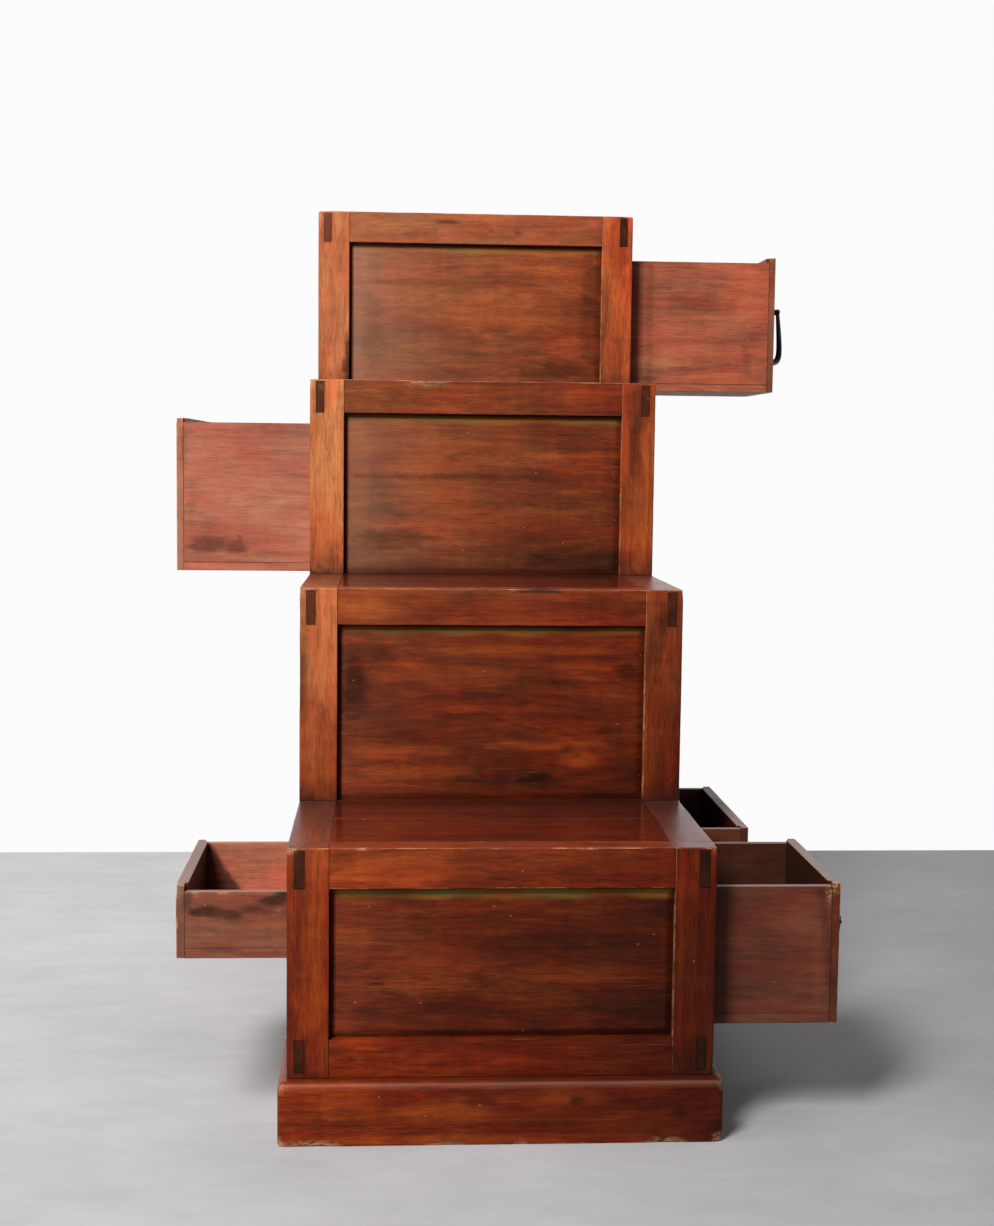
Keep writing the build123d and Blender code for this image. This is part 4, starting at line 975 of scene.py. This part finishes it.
# How black the ends of the tenons are, left and right, from the base up
tenonInk = [(0.92, 1.05), (0.74, 1.05), (0.60, 0.85), (0.62, 0.78), (0.40, 1.25)]
shortTenon = (3, -1)  # level and side of the one whose end lies deeper
for level in range(5):
    y = risers[max(level - 1, 0)]
    top = levels[0] + chest["sideRails"][0] if level == 0 else levels[level]
    z = (top - chest["sideRails"][level], top)
    boards = []
    for s in (-1, 1):
        holes = []
        if level == 1 and s == 1:
            reliefZ = (z[0] - 1, z[0] + chest["relief"])
            holes = [((bay - 1, half + 1), (risers[1] + post, chest["split"]), reliefZ)]
        boards.append(board(sideSpan(s, bay, half), (y + post + gap, backPost - gap), z, "y", stair=True,
                            holes=holes, light=0.66, sun=0.35, step=8, dust=0.05, haze=0.03))
        sunk = 1.1 if (level, s) == shortTenon else 0.3
        for ends in ((y + sunk, y + post), (backPost, chest["back"] - 0.35)):
            boards.append(board(sideSpan(s, *chest["tenonX"]), ends, chest["tenons"][level], "y", light=0.8,
                                sun=0.5, step=4, radius=0.3, wave=0.2, joint=0.25, ink=tenonInk[level][s > 0]))
    node = "base_side_rails" if level == 0 else f"step_{level}_side_rails"
    piece(node, boards, carcassWood)

# The risers: the rail's lightness and bleaching, and the panel's lightness, bleaching, haze and olive tint
riserLooks = {
    1: {"rail": (1.25, 0.7), "panel": (0.95, 0.0, 0.05, 0.95)},
    2: {"rail": (0.86, 0.36), "panel": (1.1, 0.06, 0.07, 0.7)},
    3: {"rail": (0.74, 0.40), "panel": (0.75, 0.34, 0.28, 0.55)},
    4: {"rail": (0.72, 0.85), "panel": (0.74, 0.55, 0.44, 0.45)},
}
acrossBay = (-bay + gap, bay - gap)
railSpans = [(levels[0], levels[0] + chest["baseRail"])]
railSpans += [(levels[k] - chest["frontRail"], levels[k]) for k in (1, 2, 3, 4)]
for k in (1, 2, 3, 4):
    y = risers[k - 1]
    light, sun = riserLooks[k]["rail"]
    rail = board(acrossBay, (y + 0.15, y + post), railSpans[k], "x", stair=True, marks=k, light=light, sun=sun,
                 step=5, haze=0.10 if k == 4 else 0.0, footRub=k == 1)
    piece(f"step_{k}_front_rail", [rail], carcassWood)
rail = board(acrossBay, (0.15, post), railSpans[0], "x", light=1.15, step=5, marks=1)
piece("base_front_rail", [rail], carcassWood)
boards = [board(acrossBay, (backPost, chest["back"] - 0.15), z, "x", step=11, light=0.8, sun=0.4,
                stair=z[1] == levels[4]) for z in railSpans]
piece("back_rails", boards, carcassWood)

panelRecess, panelThick, backPanelY = 9, 12, (1002, 1012)
for k in (1, 2, 3, 4):
    y = risers[k - 1] + panelRecess
    low = railSpans[0][1] if k == 1 else levels[k - 1]
    light, sun, haze, olive = riserLooks[k]["panel"]
    panel = board((-bay + 0.1, bay - 0.1), (y, y + panelThick), (low + 0.1, railSpans[k][0] - 0.1), "x",
                  light=light, sun=sun, haze=haze, panel=olive, step=3.6, rows="panel", marks=k, wave=0.1,
                  joint=0.0)
    piece(f"step_{k}_panel", [panel], panelWood)

# Fixed panels in the sides: side, row from the floor up, and where they start and end
bays = [(risers[1] + post, risers[2]), (risers[2] + post, risers[3]), (risers[3] + post, backPost)]
sidePlaces = [(-1, 1, *bays[0]), (-1, 1, *bays[1]), (-1, 1, *bays[2]), (-1, 2, *bays[0]), (-1, 2, *bays[1]),
              (-1, 2, *bays[2]), (-1, 4, *bays[2]), (1, 3, *bays[1]), (1, 3, *bays[2])]
hidden = {"rows": "plain", "wave": 0.3, "sun": 0.6, "joint": 0.9}
boards = [board(sideSpan(s, 212, 220), (a + gap, b - gap), rowSpan(row), "y", step=9, grime=0.08, **hidden)
          for s, row, a, b in sidePlaces]
piece("side_panels", boards, panelWood)
backRows = [(railSpans[0][1], railSpans[1][0])] + [(levels[k], railSpans[k + 1][0]) for k in (1, 2, 3)]
boards = [board(acrossBay, backPanelY, (a + gap, b - gap), "x", step=10, grime=0.1, **hidden)
          for a, b in backRows]
piece("back_panels", boards, panelWood)


def planks(yLow, yHigh, top, **looks):
    # Boards side by side, as near as possible to one plank's width
    count = max(1, round((yHigh - yLow) / 121.0))
    edges = np.linspace(yLow, yHigh, count + 1)
    return [board(acrossBay, (a + 0.2, b - 0.2), (top - tread, top), "x", **looks)
            for a, b in zip(edges[:-1], edges[1:])]


boards = planks(post, backPost, chest["floor"], step=14, rows="plain", faded=False, light=0.7, sun=0.0,
                dust=0.3)
piece("floor_board", boards, innerWood)
for k in (1, 2, 3, 4):
    boards = planks(risers[k - 1] + post, backPost, levels[k], step=8, stair=True, sun=0.4, joint=0.35)
    piece(f"step_{k}_board", boards, woods["treadWood"])

# Partitions and drawer guides inside
wall, floor = 10, chest["floor"]
firstWall, secondWall = risers[1] + wall, chest["split"] + wall
dustBoard = (183.5, 190.5)
inside = {"step": 14, "rows": "plain", "faded": False, "light": 0.6, "sun": 0.0}
wallZ = (floor, levels[1] - tread)
boards = [board(acrossBay, (y, y + wall), wallZ, "x", **inside) for y in (firstWall, secondWall)]
boards.append(board((-5, 5), (post, firstWall - 0.1), wallZ, "y", **inside))
boards.append(board((-half, -5.1), (post, risers[1]), dustBoard, "y", step=9, faded=False, sun=0.0, light=0.6))
piece("partitions", boards, innerWood)

left, right, both = (-bay, -5.1), (5.1, bay), (-bay, bay)
strips = []
for y in ((21, post), (risers[1], firstWall - 0.1)):
    strips += [(left, y, floor), (right, y, floor), (left, y, dustBoard[1])]
strips += [(both, (firstWall + wall, risers[1] + post), floor), (both, (chest["split"], secondWall), floor),
           (both, (secondWall + wall, chest["split"] + post), floor)]
strips += [(both, (risers[row - 1] + 21, risers[row - 1] + post), floors[row - 1]) for row in (3, 4)]
strips += [(both, (backPost, backPanelY[0]), floors[row - 1]) for row in (1, 3, 4)]
boards = [board(x, y, (z, z + 20), "x", **inside) for x, y, z in strips]
piece("drawer_guides", boards, innerWood)
print("carcass made")

# Every drawer's sizes and looks, where nothing else is said
plainDrawer = {
    "front": 13, "lap": 9, "wall": 10, "bottom": 11, "open": 0.15,  # thicknesses, and the open joints
    "length": 411,
    "far": 1.0,  # lightness of the far wall, as a share
    "frontLight": 1.0,  # of its front board
    "paler": 0.0,  # extra lightness of the front's near end
    "gray": 0.1,  # haze on the front's near end
    "inner": 0.2,  # painted shade on the front's back
    "nook": False,  # painted shadow of the front on the far wall
    "band": 0.0,  # painted shadow of the body's side on it, as it stands half open
    "rub": 1.3,  # width of the front's rubbed edges
    "step": 6,  # spacing of the walls' lattice
}

# The drawers: side, face, near and far side, bottom and top, and how much lower than the front their near and
# far walls are
drawers = {
    "top_drawer": {
        "side": 1, "face": 450.0, "y": (801, 994.5), "z": (832.5, 1032.5), "lips": (8, 8), "light": 1.07,
        "sun": 0.0, "band": 0.9, "frontLight": 0.8, "paler": -0.15, "gray": 0.3, "rub": 0.6},
    "long_drawer": {
        "side": -1, "face": -409.0, "y": (544.5, 994.5), "z": (575.5, 779.5), "lips": (5.5, 5.5),
        "light": 0.91, "sun": 0.75, "paler": 0.6, "gray": 0.62},
    "upper_shallow_drawer": {
        "side": -1, "face": -350.0, "y": (31.5, 255), "z": (191, 272), "length": 221, "lips": (8, 2.5),
        "light": 0.65, "sun": 0.35, "far": 2.0, "frontLight": 0.62, "gray": 0.45, "inner": 0.95, "nook": True,
        "step": 2.5},
    "lower_shallow_drawer": {
        "side": -1, "face": -230.0, "y": (31.5, 255), "z": (114.5, 182), "length": 221, "lips": (2.5, 2.5),
        "light": 0.6, "sun": 0.2, "paler": 0.1, "gray": 0.2},
    "deep_drawer": {
        "side": 1, "face": 373.0, "y": (31.5, 255), "z": (114.5, 272), "length": 221, "lips": (4, 4),
        "light": 0.35, "sun": 0.15, "far": 0.45, "band": 0.9, "frontLight": 1.3, "paler": 0.2, "inner": 0.8,
        "rub": 0.6},
    "middle_drawer": {
        "side": 1, "face": 322.5, "y": (288, 559), "z": (114.5, 278.5), "lips": (2, 2), "light": 0.30,
        "sun": 0.0, "far": 0.7, "frontLight": 0.8, "inner": 0.3, "rub": 0.6},
    "wide_drawer": {
        "side": 1, "face": 230.0, "y": (592, 994.5), "z": (114.5, 272), "lips": (2, 2), "light": 0.4,
        "sun": 0.1, "frontLight": 1.3, "paler": 0.1, "gray": 0.06, "rub": 0.6},
}


def drawerBoards(name, d):
    # Front with rebates for the walls and the bottom, then the bottom, the near and the far wall, and the back
    s, face, (y0, y1), (z0, z1) = d["side"], d["face"], d["y"], d["z"]
    rear, lap, frontBack = face - s * d["length"], face - s * d["lap"], face - s * d["front"]
    wall, bottom, slack = d["wall"], d["bottom"], d["open"]
    same = {"faded": False, "light": d["light"], "sun": d["sun"], "joint": 0.6, "band": d["band"]}
    lapX, boxX = (lap, frontBack - s), (lap - s * slack, rear)
    rebates = [(lapX, (y0 - 1, y0 + wall + 0.1), (z0 - 1, z1 + 1)),
               (lapX, (y1 - wall - 0.1, y1 + 1), (z0 - 1, z1 + 1)),
               (lapX, (y0 - 1, y1 + 1), (z0 - 1, z0 + bottom + 0.1))]
    boards = [board((face, frontBack), (y0, y1), (z0, z1), "y", holes=rebates, step=6, dust=0.8, radius=0.8,
                    wave=0.2, rub=d["rub"], inner=(face, d["inner"]), grime=0.06, haze=d["gray"],
                    paler=d["paler"], second=True, joint=0.3, light=d["frontLight"], sun=0.3, marks=name,
                    band=d["band"])]
    boards.append(board(boxX, (y0 + 0.1, y1 - 0.1), (z0, z0 + bottom), "x", step=9, dust=0.3, marks=name,
                        **same))
    farMarks = name if d["far"] == 1.0 else None
    for y, lip, marks, share in (((y0, y0 + wall), d["lips"][0], name, 1.0),
                                 ((y1 - wall, y1), d["lips"][1], farMarks, d["far"])):
        nook = frontBack if d["nook"] and y[1] == y1 else None
        boards.append(board(boxX, y, (z0 + bottom + slack, z1 - lip), "x", step=d["step"], dust=0.6, nook=nook,
                            marks=marks, **(same | {"light": d["light"] * share})))
    innerY = (y0 + wall + 0.1, y1 - wall - 0.1)
    backZ = (z0 + bottom + slack, z1 - max(d["lips"]))
    boards.append(board((rear, rear + s * wall), innerY, backZ, "y", step=11, dust=0.5, marks=name, **same))
    return boards


for name, sizes in drawers.items():
    boards = drawerBoards(name, plainDrawer | sizes)
    piece(f"{name}_box", boards, woods["drawerWood"], body=name, other=carcassWood)
print("drawers made")

# The iron, the doors with their tracks and the glue blocks are the CAD model's own meshes
for node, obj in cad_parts.items():
    look = None
    if node.endswith(("_pull_base", "_bail", "_ring", "door_pull")):
        look = iron
    elif node in ("front_door", "rear_door", "door_tracks", "plinth_blocks"):
        look = doorWood
    if look is not None:
        obj.data.materials.clear()
        obj.data.materials.append(look)
        obj.data.polygons.foreach_set("use_smooth", np.full(len(obj.data.polygons), look is iron))
        if look is iron:
            obj.data.set_sharp_from_angle(angle=math.radians(40))
print("fittings dressed")

# Metres, and the floor's value at its two ends across and along, as painted shade to the right and painted
# light away from the front
stage = {
    "floorColor": (0.335, 0.331, 0.338, 1), "farEdge": 1.38, "nearEdge": -9, "sideEdge": 9,
    "across": (-0.2, 1.1, 1.0, 0.52), "along": (-1.2, 1.3, 0.86, 1.22),
}


def makeFloor():
    # Grey painted floor: faint clouds and trowel strokes, with painted shade to the right and painted light
    # away from the front
    material = bpy.data.materials.new("floorPaint")
    material.use_nodes = True
    tree = material.node_tree
    shader = tree.nodes["Principled BSDF"]
    shader.inputs["Roughness"].default_value = 0.6
    shader.inputs["Specular IOR Level"].default_value = 0.1
    place = wire(tree, "ShaderNodeTexCoord").outputs["Object"]
    cloud = noiseAt(tree, stretched(tree, place, (1.6, 2.4, 1.0)), 1.9, 7.0, 0.66)
    trowel = noiseAt(tree, stretched(tree, place, (9.0, 26.0, 1.0)), 1.0, 5.0, 0.66, 0.4)
    value = spread(tree, timesPlus(tree, trowel, 0.5, cloud), 0.45, 1.05, 0.85, 1.12, False)
    axes = axesOf(tree, place)
    # Painted light and shade: the floor darkens to the right and brightens away from the front
    value = times(tree, value, spread(tree, axes[0], *stage["across"]))
    value = times(tree, value, spread(tree, axes[1], *stage["along"]))
    color = blendColor(tree, 1.0, stage["floorColor"], gray(tree, value), "MULTIPLY")
    tree.links.new(color, shader.inputs["Base Color"])
    mesh = bpy.data.meshes.new("floor")
    near, far, side = stage["nearEdge"], stage["farEdge"], stage["sideEdge"]
    mesh.from_pydata([(-side, near, 0), (side, near, 0), (side, far, 0), (-side, far, 0)], [], [(0, 1, 2, 3)])
    mesh.materials.append(material)
    floor = bpy.data.objects.new("floor", mesh)
    scene.collection.objects.link(floor)


makeFloor()

# Directions as unit vectors, the camera's place in metres and its lens in millimetres
cameraPlace = {
    "right": (0.998189, -0.059103, 0.011238), "down": (0.005894, -0.089834, -0.995940),
    "ahead": (0.059873, 0.994202, -0.089323), "at": (-0.12080, -1.83756, 0.73433), "lens": 51.68,
}


def makeCamera():
    data = bpy.data.cameras.new("camera")
    data.sensor_width = 36
    data.lens = cameraPlace["lens"]
    camera = bpy.data.objects.new("camera", data)
    right, down, ahead, at = (Vector(cameraPlace[key]) for key in ("right", "down", "ahead", "at"))
    turn = Matrix((right, -down, -ahead)).transposed().to_4x4()
    camera.matrix_world = Matrix.Translation(at) @ turn
    scene.collection.objects.link(camera)
    scene.camera = camera


makeCamera()

# Degrees left of the front and degrees up, as seen from the middle of the chest, then distance, width and
# height in metres, and power in watts
lamps = {
    "window": (32, 43, 4.4, 1.1, 1.9, 315),
    "doorway": (74, 30, 3.6, 2.4, 1.6, 45),
    "wallBounce": (175, 50, 3.4, 3.2, 2.0, 48),
    "farWall": (-97, 24, 3.6, 3.0, 1.8, 26),
}
lampTarget = (0, 0.4, 0.5)


def makeLamp(name, azimuth, height, distance, wide, tall, power):
    # A soft rectangle of light that faces the middle of the chest
    data = bpy.data.lights.new(name, "AREA")
    data.shape = "RECTANGLE"
    data.size, data.size_y = wide, tall
    data.energy = power
    left, up = math.radians(azimuth), math.radians(height)
    away = Vector((-math.sin(left) * math.cos(up), -math.cos(left) * math.cos(up), math.sin(up)))
    turn = away.to_track_quat("Z", "Y").to_matrix().to_4x4()
    lamp = bpy.data.objects.new(name, data)
    lamp.matrix_world = Matrix.Translation(Vector(lampTarget) + away * distance) @ turn
    scene.collection.objects.link(lamp)


for name, values in lamps.items():
    makeLamp(name, *values)


def makeSurround():
    # Plain soft light all round, seen as a white wall by the camera, in mirrors and through glass
    world = bpy.data.worlds.new("surround")
    scene.world = world
    world.use_nodes = True
    tree = world.node_tree
    tree.nodes.clear()
    plain = wire(tree, "ShaderNodeBackground", {"Color": (1.0, 0.96, 0.91, 1), "Strength": 0.125})
    white = wire(tree, "ShaderNodeBackground", {"Color": (0.97, 0.97, 0.975, 1), "Strength": 1.0})
    rays = wire(tree, "ShaderNodeLightPath").outputs
    mirrored = calc(tree, "MAXIMUM", rays["Is Glossy Ray"], rays["Is Transmission Ray"])
    seen = calc(tree, "MAXIMUM", rays["Is Camera Ray"], mirrored)
    mixed = wire(tree, "ShaderNodeMixShader", {0: seen, 1: plain.outputs[0], 2: white.outputs[0]})
    tree.links.new(mixed.outputs[0], wire(tree, "ShaderNodeOutputWorld").inputs["Surface"])


makeSurround()
scene.view_settings.view_transform = "Standard"
print("stage made")
